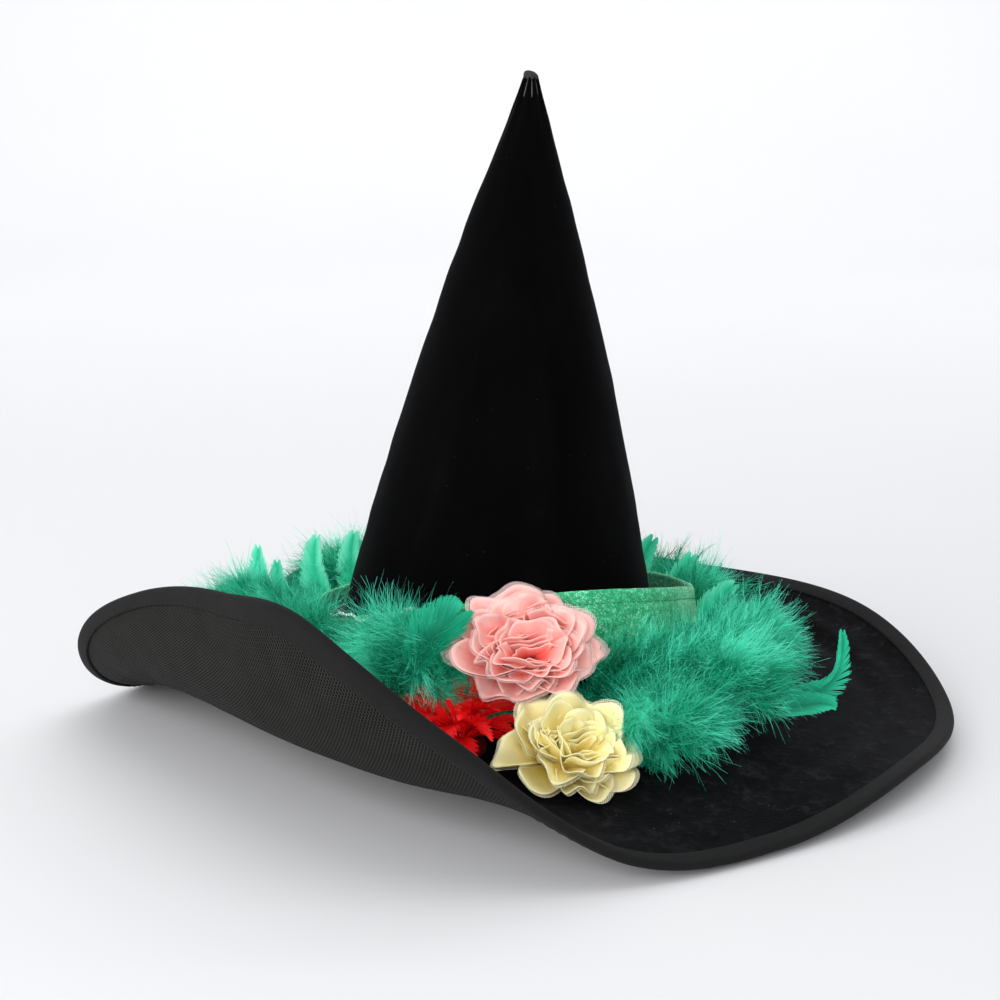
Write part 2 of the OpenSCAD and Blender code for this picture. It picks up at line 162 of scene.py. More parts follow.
def brim_top_z(r, a):
    s = (r - INNER_R) / (cloth_r(a) - INNER_R)
    return brim_at(s, a, OVER)[..., 2]


def band_top(a):
    return smooth_row(BAND, a, 1)


def band_foot(a):
    return np.maximum(band_top(a) - BAND_W, brim_top_z(BAND_R + BAND_FLARE, a) + 0.0002)


def band_out(a, z):
    return BAND_R + BAND_FLARE * (band_top(a) - z) / BAND_W


def around(r, a, z):
    """Point at radius r and angle a from the crown's foot, at height z."""
    return r[..., None] * out(a) + np.asarray(z)[..., None] * UP + [FOOT[0], FOOT[1], 0]


# ---------------------------------------------------------------- smooth noise


def lattice(seed):
    return np.random.default_rng(seed).uniform(-1, 1, (32, 32, 32))


def noise(p, scale, seed=1):
    """Smooth value noise between -1 and 1 at points p, with lumps of about 1 / scale metres."""
    grid = lattice(seed)
    q = np.asarray(p, float) * scale + 100.0
    i = np.floor(q).astype(int)
    f = q - i
    f = f * f * (3 - 2 * f)
    total = 0
    for corner in np.ndindex(2, 2, 2):
        c = np.array(corner)
        weight = np.prod(np.where(c == 1, f, 1 - f), axis=-1)
        k = (i + c) % 32
        total = total + weight * grid[k[..., 0], k[..., 1], k[..., 2]]
    return total


# ---------------------------------------------------------------- meshes


def new_object(name, points, faces, uv=None, values=None):
    """Mesh object at the origin; uv is one pair per corner, values are point attributes."""
    mesh = bpy.data.meshes.new(name)
    mesh.from_pydata([tuple(p) for p in np.asarray(points, float)], [], faces)
    if uv is not None:
        layer = mesh.uv_layers.new(name="UVMap")
        layer.data.foreach_set("uv", np.asarray(uv, float).ravel())
    for key, data in (values or {}).items():
        data = np.asarray(data, float)
        kind = "FLOAT_VECTOR" if data.ndim == 2 else "FLOAT"
        mesh.attributes.new(key, kind, "POINT").data.foreach_set(
            "vector" if data.ndim == 2 else "value", data.ravel())
    mesh.polygons.foreach_set("use_smooth", [True] * len(mesh.polygons))
    obj = bpy.data.objects.new(name, mesh)
    bpy.context.scene.collection.objects.link(obj)
    return obj


class Shell:
    """Collects grids of quads, with a UV map in metres, into one mesh."""

    def __init__(self):
        self.points, self.faces, self.uv, self.values = [], [], [], {}
        self.count = 0

    def grid(self, points, uv, loop=False, flip=False, **values):
        """points has shape (n, m, 3); loop closes it along n."""
        n, m = points.shape[:2]
        base = self.count
        self.points.append(points.reshape(-1, 3))
        for key, data in values.items():
            self.values.setdefault(key, []).append(np.broadcast_to(data, (n, m)).reshape(-1))
        self.count += n * m
        i, j = np.meshgrid(np.arange(n if loop else n - 1), np.arange(m - 1), indexing="ij")
        k = (i + 1) % n
        quads = np.stack([i * m + j, k * m + j, k * m + j + 1, i * m + j + 1], -1).reshape(-1, 4)
        step = np.stack([i, i + 1, i + 1, i], -1).reshape(-1, 4)
        across = np.stack([j, j, j + 1, j + 1], -1).reshape(-1, 4)
        closed = np.concatenate([uv, 2 * uv[-1:] - uv[-2:-1]]) if loop else uv
        corners = closed[step, across]
        if flip:
            quads, corners = quads[:, ::-1], corners[:, ::-1]
        self.faces.append(quads + base)
        self.uv.append(corners.reshape(-1, 2))
        return self

    def flat_area(self):
        """Area of the UV map, which is the cloth as it was cut."""
        corners = np.concatenate(self.uv).reshape(-1, 4, 2)
        x, y = corners[..., 0], corners[..., 1]
        return float(np.abs((x * np.roll(y, -1, 1) - y * np.roll(x, -1, 1)).sum(1)).sum() / 2)

    def build(self, name):
        """Makes the mesh, with its seams and poles closed."""
        obj = new_object(
            name, np.concatenate(self.points), np.concatenate(self.faces).tolist(),
            np.concatenate(self.uv), {k: np.concatenate(v) for k, v in self.values.items()})
        work = bmesh.new()
        work.from_mesh(obj.data)
        bmesh.ops.remove_doubles(work, verts=work.verts, dist=SAME_POINT)
        work.to_mesh(obj.data)
        work.free()
        return obj


def bake_modifiers(obj):
    """Applies the modifiers of obj to its mesh."""
    graph = bpy.context.evaluated_depsgraph_get()
    mesh = bpy.data.meshes.new_from_object(obj.evaluated_get(graph), preserve_all_data_layers=True, depsgraph=graph)
    old = obj.data
    obj.modifiers.clear()
    obj.data = mesh
    bpy.data.meshes.remove(old)
    mesh.name = obj.name
    return obj


def thicken(obj, thickness, offset=-1.0):
    """Gives an open sheet its wall."""
    wall = obj.modifiers.new("wall", "SOLIDIFY")
    wall.thickness = thickness
    wall.offset = offset
    wall.use_even_offset = False
    return bake_modifiers(obj)


def dress(obj, material):
    obj.data.materials.clear()
    obj.data.materials.append(material)
    return obj


def settle(obj, material, slot, *nodes):
    """Material, body and the solids that the piece stands for; slot, the name of its finish, is not used."""
    if material is not None:
        dress(obj, material)
    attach(obj, "root")
    if nodes:
        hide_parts(*nodes)
    return obj


# ---------------------------------------------------------------- shader maths


class Link:
    """A shader socket that takes part in Python arithmetic."""

    def __init__(self, shader, socket):
        self.shader = shader
        self.socket = socket

    def _math(self, kind, *values):
        return self.shader.node("ShaderNodeMath", {"operation": kind}, dict(enumerate(values)))

    def __add__(self, other):
        return self._math("ADD", self, other)

    __radd__ = __add__

    def __sub__(self, other):
        return self._math("SUBTRACT", self, other)

    def __rsub__(self, other):
        return self._math("SUBTRACT", other, self)

    def __mul__(self, other):
        return self._math("MULTIPLY", self, other)

    __rmul__ = __mul__

    def wave(self):
        return self._math("SINE", self)

    def size(self):
        return self._math("ABSOLUTE", self)

    def over(self, edge, soft):
        """0 below edge, 1 above it, over a soft step."""
        return self.shader.node(
            "ShaderNodeMapRange", {"interpolation_type": "SMOOTHSTEP"},
            {"Value": self, "From Min": edge - soft, "From Max": edge + soft})

    def most(self, other):
        return self._math("MAXIMUM", self, other)


class Finish:
    """A node material; every node comes from node()."""

    def __init__(self, name, **constants):
        self.material = bpy.data.materials.new(name)
        self.material.use_nodes = True
        self.tree = self.material.node_tree
        self.tree.nodes.clear()
        self.surface = self.tree.nodes.new("ShaderNodeBsdfPrincipled")
        output = self.tree.nodes.new("ShaderNodeOutputMaterial")
        self.tree.links.new(self.surface.outputs[0], output.inputs["Surface"])
        self.set(**{key.replace("_", " ").title().replace("Ior", "IOR"): value for key, value in constants.items()})

    def set(self, **sockets):
        for key, value in sockets.items():
            self._plug(self.surface.inputs[key], value)
        return self

    def _plug(self, socket, value):
        if isinstance(value, Link):
            self.tree.links.new(value.socket, socket)
        elif isinstance(value, (tuple, list)) and socket.type == "RGBA":
            socket.default_value = (*value[:3], 1.0)
        else:
            socket.default_value = value

    def node(self, kind, settings=None, values=None, output=0):
        item = self.tree.nodes.new(kind)
        for key, value in (settings or {}).items():
            if key == "stops":
                ramp = item.color_ramp
                while len(ramp.elements) < len(value):
                    ramp.elements.new(0.5)
                for element, (place, color) in zip(ramp.elements, value):
                    element.position = place
                    element.color = (*color, 1.0)
            else:
                setattr(item, key, value)
        for key, value in (values or {}).items():
            self._plug(item.inputs[key], value)
        return Link(self, item.outputs[output])

    def place(self):
        return self.node("ShaderNodeTexCoord", output="Object")

    def uv(self):
        return self.node("ShaderNodeUVMap", {"uv_map": "UVMap"})

    def parts(self, vector):
        split = self.node("ShaderNodeSeparateXYZ", values={"Vector": vector})
        nodes = split.socket.node.outputs
        return Link(self, nodes[0]), Link(self, nodes[1]), Link(self, nodes[2])

    def value(self, name):
        return self.node("ShaderNodeAttribute", {"attribute_name": name}, output="Fac")

    def grain(self, vector, scale, detail=2.0, rough=0.5, distort=0.0):
        return self.node("ShaderNodeTexNoise", values={
            "Vector": vector, "Scale": scale, "Detail": detail, "Roughness": rough, "Distortion": distort})

    def cells(self, vector, scale, output="Distance"):
        return self.node("ShaderNodeTexVoronoi", values={"Vector": vector, "Scale": scale}, output=output)

    def stretch(self, vector, x, y, z):
        return self.node("ShaderNodeMapping", values={"Vector": vector, "Scale": (x, y, z)})

    def mix(self, share, a, b):
        return self.node("ShaderNodeMix", {"data_type": "RGBA"}, {0: share, 6: a, 7: b}, output=2)

    def ramp(self, share, *stops):
        return self.node("ShaderNodeValToRGB", {"stops": stops}, {"Fac": share})

    def bump(self, height, strength, distance):
        normal = self.node("ShaderNodeBump", values={"Height": height, "Strength": strength, "Distance": distance})
        return self.set(Normal=normal)


def rgb(r, g, b):
    """Linear colour from the 0 to 255 values of a colour chart."""
    def linear(c):
        c = c / 255
        return c / 12.92 if c <= 0.04045 else ((c + 0.055) / 1.055) ** 2.4
    return linear(r), linear(g), linear(b)


# ---------------------------------------------------------------- geometry node recipes


class Recipe:
    """A geometry node tree with named inputs, grown on guide lines and baked to a mesh."""

    def __init__(self, name):
        self.tree = bpy.data.node_groups.new(name, "GeometryNodeTree")
        for way in ("INPUT", "OUTPUT"):
            self.tree.interface.new_socket("Geometry", in_out=way, socket_type="NodeSocketGeometry")
        self.start = self.tree.nodes.new("NodeGroupInput")
        self.end = self.tree.nodes.new("NodeGroupOutput")

    def size(self, name, kind="Float", default=None):
        item = self.tree.interface.new_socket(name, in_out="INPUT", socket_type="NodeSocket" + kind)
        if default is not None:
            item.default_value = default
        return self.start.outputs[name]

    def node(self, kind, settings=None, values=None, output=0):
        item = self.tree.nodes.new(kind)
        for key, value in (settings or {}).items():
            setattr(item, key, value)
        for key, value in (values or {}).items():
            socket = item.inputs[key]
            if isinstance(value, bpy.types.NodeSocket):
                self.tree.links.new(value, socket)
            else:
                socket.default_value = value
        return item.outputs[output]

    def math(self, kind, *values):
        return self.node("ShaderNodeMath", {"operation": kind}, dict(enumerate(values)))

    def vector(self, kind, *values):
        return self.node("ShaderNodeVectorMath", {"operation": kind}, dict(enumerate(values)))

    def scaled(self, vector, factor):
        return self.node("ShaderNodeVectorMath", {"operation": "SCALE"}, {0: vector, "Scale": factor})

    def random(self, low, high, seed):
        return self.node("FunctionNodeRandomValue", {"data_type": "FLOAT"}, {2: low, 3: high, "Seed": seed}, output=1)

    def named(self, name, kind="FLOAT"):
        return self.node("GeometryNodeInputNamedAttribute", {"data_type": kind}, {"Name": name})

    def store(self, geometry, name, value):
        return self.node("GeometryNodeStoreNamedAttribute", {"data_type": "FLOAT", "domain": "POINT"},
                         {"Geometry": geometry, "Name": name, "Value": value})

    def finish(self, geometry, material):
        real = self.node("GeometryNodeRealizeInstances", values={"Geometry": geometry})
        done = self.node("GeometryNodeSetMaterial", values={"Geometry": real, "Material": material})
        self.tree.links.new(done, self.end.inputs[0])
        return self

    def grow(self, guide, name, **sizes):
        """Runs the tree on the guide object, which becomes the finished piece."""
        modifier = guide.modifiers.new(self.tree.name, "NODES")
        modifier.node_group = self.tree
        wanted = {key.replace("_", " "): value for key, value in sizes.items()}
        for item in self.tree.interface.items_tree:
            key = item.name.lower()
            if item.in_out == "INPUT" and key in wanted:
                modifier[item.identifier] = wanted.pop(key)
        if wanted:
            raise ValueError(f"{name}: no input named {sorted(wanted)}")
        guide.name = name
        return bake_modifiers(guide)


def guide_lines(name, lines, closed=False, **values):
    """Polylines as a mesh of edges, with point attributes; lines has shape (n, m, 3)."""
    lines = np.asarray(lines, float)
    n, m = lines.shape[:2]
    mesh = bpy.data.meshes.new(name)
    edges = [(i * m + j, i * m + (j + 1) % m) for i in range(n) for j in range(m if closed else m - 1)]
    mesh.from_pydata([tuple(p) for p in lines.reshape(-1, 3)], edges, [])
    for key, data in values.items():
        data = np.asarray(data, float)
        vector = data.shape[-1] == 3 and data.ndim == 3
        data = data if vector else np.broadcast_to(data.reshape(n, -1), (n, m))
        mesh.attributes.new(key, "FLOAT_VECTOR" if vector else "FLOAT", "POINT").data.foreach_set(
            "vector" if vector else "value", data.ravel())
    obj = bpy.data.objects.new(name, mesh)
    bpy.context.scene.collection.objects.link(obj)
    return obj


def feather_recipe():
    """Barbs along quills: reach, tone and facing come from the guide's points."""
    r = Recipe("Barbs along quills")
    barbs = r.size("Barbs", "Int", 60)
    width = r.size("Barb width", "Float", 0.0004)
    spread = r.size("Spread", "Float", 0.8)
    spin = r.size("Spin", "Float", 0.3)
    curl = r.size("Curl", "Float", 0.2)
    waviness = r.size("Waviness", "Float", 0.004)
    wave_scale = r.size("Wave scale", "Float", 60.0)
    root_share = r.size("Root length", "Float", 0.7)
    tip_share = r.size("Tip length", "Float", 0.35)
    quill = r.size("Quill radius", "Float", 0.0003)
    low = r.size("Shortest", "Float", 0.85)
    high = r.size("Longest", "Float", 1.1)
    seed = r.size("Seed", "Int", 1)
    material = r.size("Material", "Material")

    curve = r.node("GeometryNodeMeshToCurve", values={"Mesh": r.start.outputs["Geometry"]})
    points = r.node("GeometryNodeResampleCurve", {"mode": "COUNT"}, {"Curve": curve, "Count": barbs})
    share = r.node("GeometryNodeSplineParameter", output="Factor")
    tangent = r.node("GeometryNodeInputTangent")
    facing = r.named("facing", "FLOAT_VECTOR")
    side = r.vector("NORMALIZE", r.vector("CROSS_PRODUCT", tangent, facing))
    index = r.node("GeometryNodeInputIndex")
    parity = r.math("SUBTRACT", r.math("MULTIPLY", r.math("FLOORED_MODULO", index, 2.0), 2.0), 1.0)
    roll = r.math("MULTIPLY", spin, r.random(-1.0, 1.0, seed))
    side = r.node("ShaderNodeVectorRotate", {"rotation_type": "AXIS_ANGLE"},
                  {"Vector": r.scaled(side, parity), "Axis": tangent, "Angle": roll})
    lean = r.math("MULTIPLY", spread, r.math("SUBTRACT", 1.15, r.math("MULTIPLY", share, 0.7)))
    lean = r.math("MULTIPLY", lean, r.random(0.8, 1.2, r.math("ADD", seed, 1)))
    forward = r.scaled(tangent, r.math("COSINE", lean))
    sideways = r.scaled(side, r.math("SINE", lean))
    direction = r.vector("NORMALIZE", r.vector("ADD", forward, sideways))
    normal = r.vector("CROSS_PRODUCT", direction, tangent)
    rotation = r.node("FunctionNodeAxesToRotation", {"primary_axis": "X", "secondary_axis": "Z"},
                      {"Primary Axis": direction, "Secondary Axis": normal})
    rising = r.math("MINIMUM", r.math("ADD", root_share, r.math("MULTIPLY", share, 2.0)), 1.0)
    falling = r.math("ADD", tip_share, r.math("MULTIPLY", r.math("SUBTRACT", 1.0, tip_share),
                     r.math("POWER", r.math("SUBTRACT", 1.0, r.math("MULTIPLY", share, share)), 0.7)))
    length = r.math("MULTIPLY", r.math("MULTIPLY", rising, falling), r.named("reach"))
    length = r.math("MULTIPLY", length, r.random(low, high, r.math("ADD", seed, 2)))
    shade = r.math("ADD", r.named("tone"), r.random(-0.12, 0.12, r.math("ADD", seed, 3)))
    points = r.store(points, "tone", shade)

    blade = r.node("GeometryNodeMeshGrid", values={
        "Size X": 1.0, "Size Y": 1.0, "Vertices X": 4, "Vertices Y": 2})
    place = r.node("GeometryNodeInputPosition")
    split = r.tree.nodes.new("ShaderNodeSeparateXYZ")
    r.tree.links.new(place, split.inputs[0])
    along = r.math("ADD", split.outputs[0], 0.5)
    taper = r.math("SUBTRACT", 1.0, r.math("MULTIPLY", along, 0.75))
    across = r.math("MULTIPLY", r.math("MULTIPLY", split.outputs[1], taper), width)
    sag = r.math("MULTIPLY", r.math("MULTIPLY", along, along), curl)
    bent = r.node("ShaderNodeCombineXYZ", values={0: along, 1: across, 2: sag})
    blade = r.store(blade, "along", along)
    blade = r.node("GeometryNodeSetPosition", values={"Geometry": blade, "Position": bent})
    scale = r.node("ShaderNodeCombineXYZ", values={0: length, 1: 1.0, 2: length})
    fluff = r.node("GeometryNodeInstanceOnPoints", values={
        "Points": points, "Instance": blade, "Rotation": rotation, "Scale": scale})
    fluff = r.node("GeometryNodeRealizeInstances", values={"Geometry": fluff})

    ring = r.node("GeometryNodeCurvePrimitiveCircle", values={"Resolution": 4, "Radius": quill})
    stem = r.node("GeometryNodeCurveToMesh", values={"Curve": curve, "Profile Curve": ring, "Fill Caps": True})
    stem = r.store(stem, "along", 0.15)
    both = r.tree.nodes.new("GeometryNodeJoinGeometry")
    r.tree.links.new(stem, both.inputs[0])
    r.tree.links.new(fluff, both.inputs[0])
    reached = r.named("along")
    swirl = r.node("ShaderNodeTexNoise", values={"Vector": place, "Scale": wave_scale, "Detail": 1.0}, output="Color")
    swirl = r.vector("SUBTRACT", swirl, (0.5, 0.5, 0.5))
    amount = r.math("MULTIPLY", r.math("MULTIPLY", reached, reached), r.math("MULTIPLY", waviness, 2.0))
    moved = r.node("GeometryNodeSetPosition", values={
        "Geometry": both.outputs[0], "Offset": r.scaled(swirl, amount)})
    return r.finish(moved, material)


def row_recipe():
    """Small round or long beads set in a row along a line: stitches and beads."""
    r = Recipe("Beads along a line")
    pitch = r.size("Pitch", "Float", 0.003)
    length = r.size("Length", "Float", 0.002)
    radius = r.size("Radius", "Float", 0.0003)
    segments = r.size("Segments", "Int", 8)
    rings = r.size("Rings", "Int", 5)
    material = r.size("Material", "Material")
    curve = r.node("GeometryNodeMeshToCurve", values={"Mesh": r.start.outputs["Geometry"]})
    points = r.node("GeometryNodeResampleCurve", {"mode": "LENGTH"}, {"Curve": curve, "Length": pitch})
    tangent = r.node("GeometryNodeInputTangent")
    rotation = r.node("FunctionNodeAlignRotationToVector", {"axis": "Z"}, {"Vector": tangent})
    ball = r.node("GeometryNodeMeshUVSphere", values={"Segments": segments, "Rings": rings, "Radius": 1.0})
    ball = r.node("GeometryNodeSetShadeSmooth", values={"Geometry": ball})
    scale = r.node("ShaderNodeCombineXYZ", values={0: radius, 1: radius, 2: r.math("DIVIDE", length, 2.0)})
    beads = r.node("GeometryNodeInstanceOnPoints", values={
        "Points": points, "Instance": ball, "Rotation": rotation, "Scale": scale})
    return r.finish(beads, material)


# ---------------------------------------------------------------- finishes

# Distance between neighbouring threads of each cloth.
NET_PITCH = 0.0016
TAPE_PITCH = 0.0007
TULLE_PITCH = 0.0010


def felted(name, color, speck, scale, height, **constants):
    """Plain cloth or felt with a fine irregular surface."""
    f = Finish(name, roughness=0.9, **constants)
    p = f.place()
    fine = f.grain(p, scale, 4.0, 0.6)
    broad = f.grain(p, scale / 25, 2.0)
    tone = (fine * 0.6 + broad * 0.4).over(0.5, 0.25)
    f.set(**{"Base Color": f.mix(tone, color, speck)})
    f.bump(fine, 0.5, height)
    return f.material


def crown_velvet():
    """Deep black pile, brushed a little one way and the other."""
    f = Finish("crown_velvet", roughness=0.9, sheen_weight=0.018, sheen_roughness=0.45,
               specular_ior_level=0.03)
    p = f.place()
    brushed = f.grain(f.stretch(p, 1.0, 1.0, 0.25), 34, 3.0, 0.6, 0.4)
    pile = f.grain(p, 1500, 2.0)
    lint = f.cells(p, 90).over(0.035, 0.01)
    f.set(**{"Sheen Tint": (0.55, 0.6, 0.7)})
    base = f.ramp(brushed * 0.8 + pile * 0.2, (0.35, (0.0004, 0.0004, 0.0004)), (0.6, (0.0012, 0.0012, 0.0013)),
                  (0.8, (0.0036, 0.0036, 0.004)))
    f.set(**{"Base Color": f.mix(lint, (0.012, 0.012, 0.0125), base)})
    f.set(Roughness=0.78 + brushed * 0.2)
    f.bump(pile * 0.7 + brushed * 0.6, 0.35, 0.0008)
    return f.material


def brim_velvet():
    """Black velvet with the pile crushed in blotches and a little lint."""
    f = Finish("brim_velvet", roughness=0.9, sheen_weight=0.035, sheen_roughness=0.45, specular_ior_level=0.05)
    p = f.place()
    blotch = f.grain(p, 75, 4.0, 0.7, 0.8)
    streak = f.grain(f.stretch(p, 1.0, 1.0, 3.0), 210, 3.0, 0.7)
    pile = f.grain(p, 1300, 2.0)
    specks = f.cells(p, 120).over(0.05, 0.015)
    f.set(**{"Sheen Tint": (0.6, 0.62, 0.7)})
    base = f.ramp(blotch * 0.55 + streak * 0.25 + pile * 0.2,
                  (0.40, (0.0006, 0.0006, 0.0007)), (0.52, (0.003, 0.003, 0.0033)),
                  (0.62, (0.014, 0.014, 0.0155)))
    f.set(**{"Base Color": f.mix(specks, (0.07, 0.07, 0.072), base)})
    f.set(Roughness=0.8 + blotch * 0.18)
    f.bump(pile * 0.8 + blotch * 1.2 + streak * 0.5, 0.5, 0.0009)
    return f.material


def thread_grid(f, uv, pitch, slant, width):
    """Two sets of threads over and under each other; gives the nearest thread and the weave's height."""
    u, v, _ = f.parts(f.node("ShaderNodeMapping", values={
        "Vector": uv, "Rotation": (0, 0, slant), "Scale": (math.pi / pitch, math.pi / pitch, 1)}))
    across, down = u.wave().size(), v.wave().size()
    swap = u.wave() * v.wave()
    warp = (1 - across).over(1 - width, 0.12)
    weft = (1 - down).over(1 - width, 0.12)
    return warp.most(weft), warp * (swap + 1.5) + weft * (1.5 - swap)


def brim_net():
    """Stiff open-weave cloth with paler threads."""
    f = Finish("brim_net", roughness=0.8, sheen_weight=0.01, specular_ior_level=0.06)
    uv = f.uv()
    thread, height = thread_grid(f, uv, NET_PITCH, ROLL_DIR - math.radians(45), 0.42)
    wear = f.grain(uv, 60, 3.0)
    dark = f.mix(wear, (0.0006, 0.0006, 0.0006), (0.0016, 0.0016, 0.0015))
    pale = f.mix(wear, (0.020, 0.020, 0.018), (0.044, 0.044, 0.040))
    f.set(**{"Base Color": f.mix(thread, dark, pale)})
    f.set(Roughness=0.8 - thread * 0.15)
    f.bump(height * 0.4, 0.6, 0.0004)
    return f.material


def binding_tape():
    """Matte bias tape with its fine slanting weave."""
    f = Finish("binding", roughness=0.75, sheen_weight=0.015, specular_ior_level=0.12)
    uv = f.uv()
    thread, height = thread_grid(f, uv, TAPE_PITCH, math.radians(45), 0.6)
    wear = f.grain(uv, 90, 3.0)
    f.set(**{"Base Color": f.mix(thread * 0.5 + wear * 0.5, (0.0035, 0.0035, 0.0037), (0.012, 0.012, 0.0125))})
    f.bump(height * 0.4 + wear * 0.8, 0.5, 0.0004)
    return f.material


def crushed_velvet():
    """Green velvet pressed into flakes, with a dust of metallic glitter whose sparkle is also painted in as a pale
    glint colour.
    """
    f = Finish("band_velvet", roughness=0.5, sheen_weight=0.5, sheen_roughness=0.3)
    uv = f.uv()
    flake = f.cells(uv, 1500, "Color")
    shade = f.grain(uv, 320, 5.0, 0.8, 0.6)
    broad = f.grain(uv, 30, 2.0)
    one, two, _ = f.parts(flake)
    # Painted highlight: where glint is high, the base colour turns pale mint as well as metallic and smoother, so the
    # sparkle is partly painted.
    glint = (one * 0.55 + shade * 0.8 + broad * 0.5).over(1.13, 0.12)
    base = f.ramp(shade * 0.75 + broad * 0.25, (0.34, rgb(2, 122, 74)), (0.5, rgb(24, 178, 118)),
                  (0.66, rgb(76, 226, 168)))
    f.set(**{"Sheen Tint": (0.5, 1.0, 0.65)})
    f.set(**{"Base Color": f.mix(glint, base, rgb(164, 250, 206))})
    f.set(Roughness=0.62 - glint * 0.3 - two * 0.1)
    f.set(Metallic=glint * 0.35)
    f.bump(shade * 1.5 + one * 0.5, 0.6, 0.0007)
    return f.material


def satin(name, deep, plain, light):
    """Petal cloth: painted shade makes it deeper towards the gathered middle and the folds, and a painted highlight
    makes it paler at the cut edge.
    """
    f = Finish(name, roughness=0.42, sheen_weight=0.4, sheen_roughness=0.3, specular_ior_level=0.45)
    uv = f.uv()
    along = f.value("along")
    weave = f.grain(f.stretch(uv, 1.0, 6.0, 1.0), 900, 2.0)
    cloud = f.grain(uv, 70, 2.0)
    f.set(**{"Sheen Tint": light})
    # Painted light: along runs from the petal's root, in the deep colour as painted shade, to its cut edge, in the
    # light colour as painted highlight.
    tone = along * 0.75 + cloud * 0.35 + weave * 0.08
    f.set(**{"Base Color": f.ramp(tone, (0.12, deep), (0.5, plain), (0.98, light))})
    f.set(Roughness=0.36 + cloud * 0.2)
    f.bump(weave * 0.4 + cloud * 1.0, 0.35, 0.0006)
    return f.material


def tulle(name, color):
    """Fine net: only its threads are there."""
    f = Finish(name, roughness=0.5, specular_ior_level=0.4, sheen_weight=0.3)
    uv = f.uv()
    u, v, _ = f.parts(f.node("ShaderNodeMapping", values={
        "Vector": uv, "Rotation": (0, 0, math.radians(45)), "Scale": (math.pi / TULLE_PITCH,) * 3}))
    lines = (1 - u.wave().size()).most(1 - v.wave().size()).over(0.66, 0.10)
    f.set(**{"Base Color": color})
    f.set(Alpha=lines)
    return f.material


def plumage(name, hollow_shade, plain, tip, sheen=0.2, painted_glow=0.1):
    """Dyed feather whose tone differs from barb to barb; painted shade darkens the roots and patches deep in the
    down, painted light makes the tips paler, and a painted glow stands in for light that seeps through.
    """
    f = Finish(name, roughness=0.6, sheen_weight=sheen, sheen_roughness=0.4, specular_ior_level=0.3)
    along = f.value("along")
    tone = f.value("tone")
    light_and_shade_patches = f.grain(f.place(), 26, 2.0)
    # Painted shade and light: barb roots (low along) and dark patches take the shaded hollow colour, tips take the
    # pale tip colour.
    share = along * 0.5 + tone * 0.45 + light_and_shade_patches * 1.2 - 0.42
    f.set(**{"Sheen Tint": tip})
    shade = f.ramp(share, (0.22, hollow_shade), (0.6, plain), (1.0, tip))
    # The emission of the same colour is a painted glow: the feathers glow, though they are no lamp.
    f.set(**{"Base Color": shade, "Emission Color": shade, "Emission Strength": painted_glow})
    f.set(Roughness=0.72 - along * 0.2)
    return f.material


def silver():
    f = Finish("silver_bead", roughness=0.18, metallic=0.85)
    p = f.place()
    worn = f.grain(p, 700, 2.0)
    f.set(**{"Base Color": f.mix(worn, (0.62, 0.65, 0.68), (0.86, 0.88, 0.9))})
    f.set(Roughness=0.1 + worn * 0.2)
    return f.material


def ribbed(name, color, rib, pitch):
    """Ribbon with fine upright ribs."""
    f = Finish(name, roughness=0.6, sheen_weight=0.2)
    u, _, _ = f.parts(f.uv())
    ribs = (u * (2 * math.pi / pitch)).wave() * 0.5 + 0.5
    wear = f.grain(f.uv(), 120, 2.0)
    f.set(**{"Base Color": f.mix(ribs * 0.7 + wear * 0.3, color, rib)})
    f.bump(ribs, 0.5, 0.0004)
    return f.material


def brushed_wire():
    f = Finish("wire", roughness=0.35, metallic=1.0)
    drawn = f.grain(f.stretch(f.place(), 1.0, 1.0, 20.0), 300, 3.0)
    f.set(**{"Base Color": f.mix(drawn, (0.45, 0.45, 0.47), (0.65, 0.65, 0.67))})
    f.set(Roughness=0.28 + drawn * 0.2)
    return f.material


# ---------------------------------------------------------------- crown


def crown_shell(inset, foot, top, rows, turns, wrinkle):
    """Grid of the crown's surface, set in by inset, with soft dents."""
    h = np.linspace(foot, top, rows)
    a = np.linspace(0, 2 * np.pi, turns, endpoint=False)
    hh, aa = np.meshgrid(h, a)
    r = np.maximum(crown_radius(hh) - inset, 0.0008)
    raw = r[..., None] * out(aa) + hh[..., None] * UP
    dent = wrinkle * (0.0009 * noise(raw * [1, 1, 0.45], 26, 3) + 0.0004 * noise(raw, 70, 4))
    pleat = wrinkle * 0.0007 * np.sin(9 * aa + 3 * noise(raw, 30, 5)) * np.clip((hh - 0.29) / 0.05, 0, 1)
    fade = np.clip((hh - FOOT_H) / 0.02, 0, 1)
    raw = raw + ((dent + pleat) * fade)[..., None] * out(aa)
    around_u = aa * CROWN_R
    return on_crown_axis(raw), np.stack([around_u, hh], -1)


def make_crown():
    points, uv = crown_shell(0.0, -OVER, CROWN_H, 110, 200, 1.0)
    velvet = thicken(Shell().grid(points, uv, loop=True).build("crown_velvet_cloth"), WALLS["velvet"] * 0.9)
    settle(velvet, crown_velvet(), "crown_velvet", "crown_velvet")

    inset = WALLS["velvet"] + WALLS["buckram"]
    points, uv = crown_shell(inset, 0.0, CROWN_H - inset - 0.001, 60, 120, 0.6)
    lining = Shell().grid(points, uv, loop=True, flip=True).build("crown_lining_cloth")
    lining = thicken(lining, WALLS["lining"] * 0.9)
    finish = felted("lining", (0.006, 0.006, 0.007), (0.016, 0.016, 0.018), 900, 0.0003, sheen_weight=0.3)
    settle(lining, finish, "lining", "crown_lining")


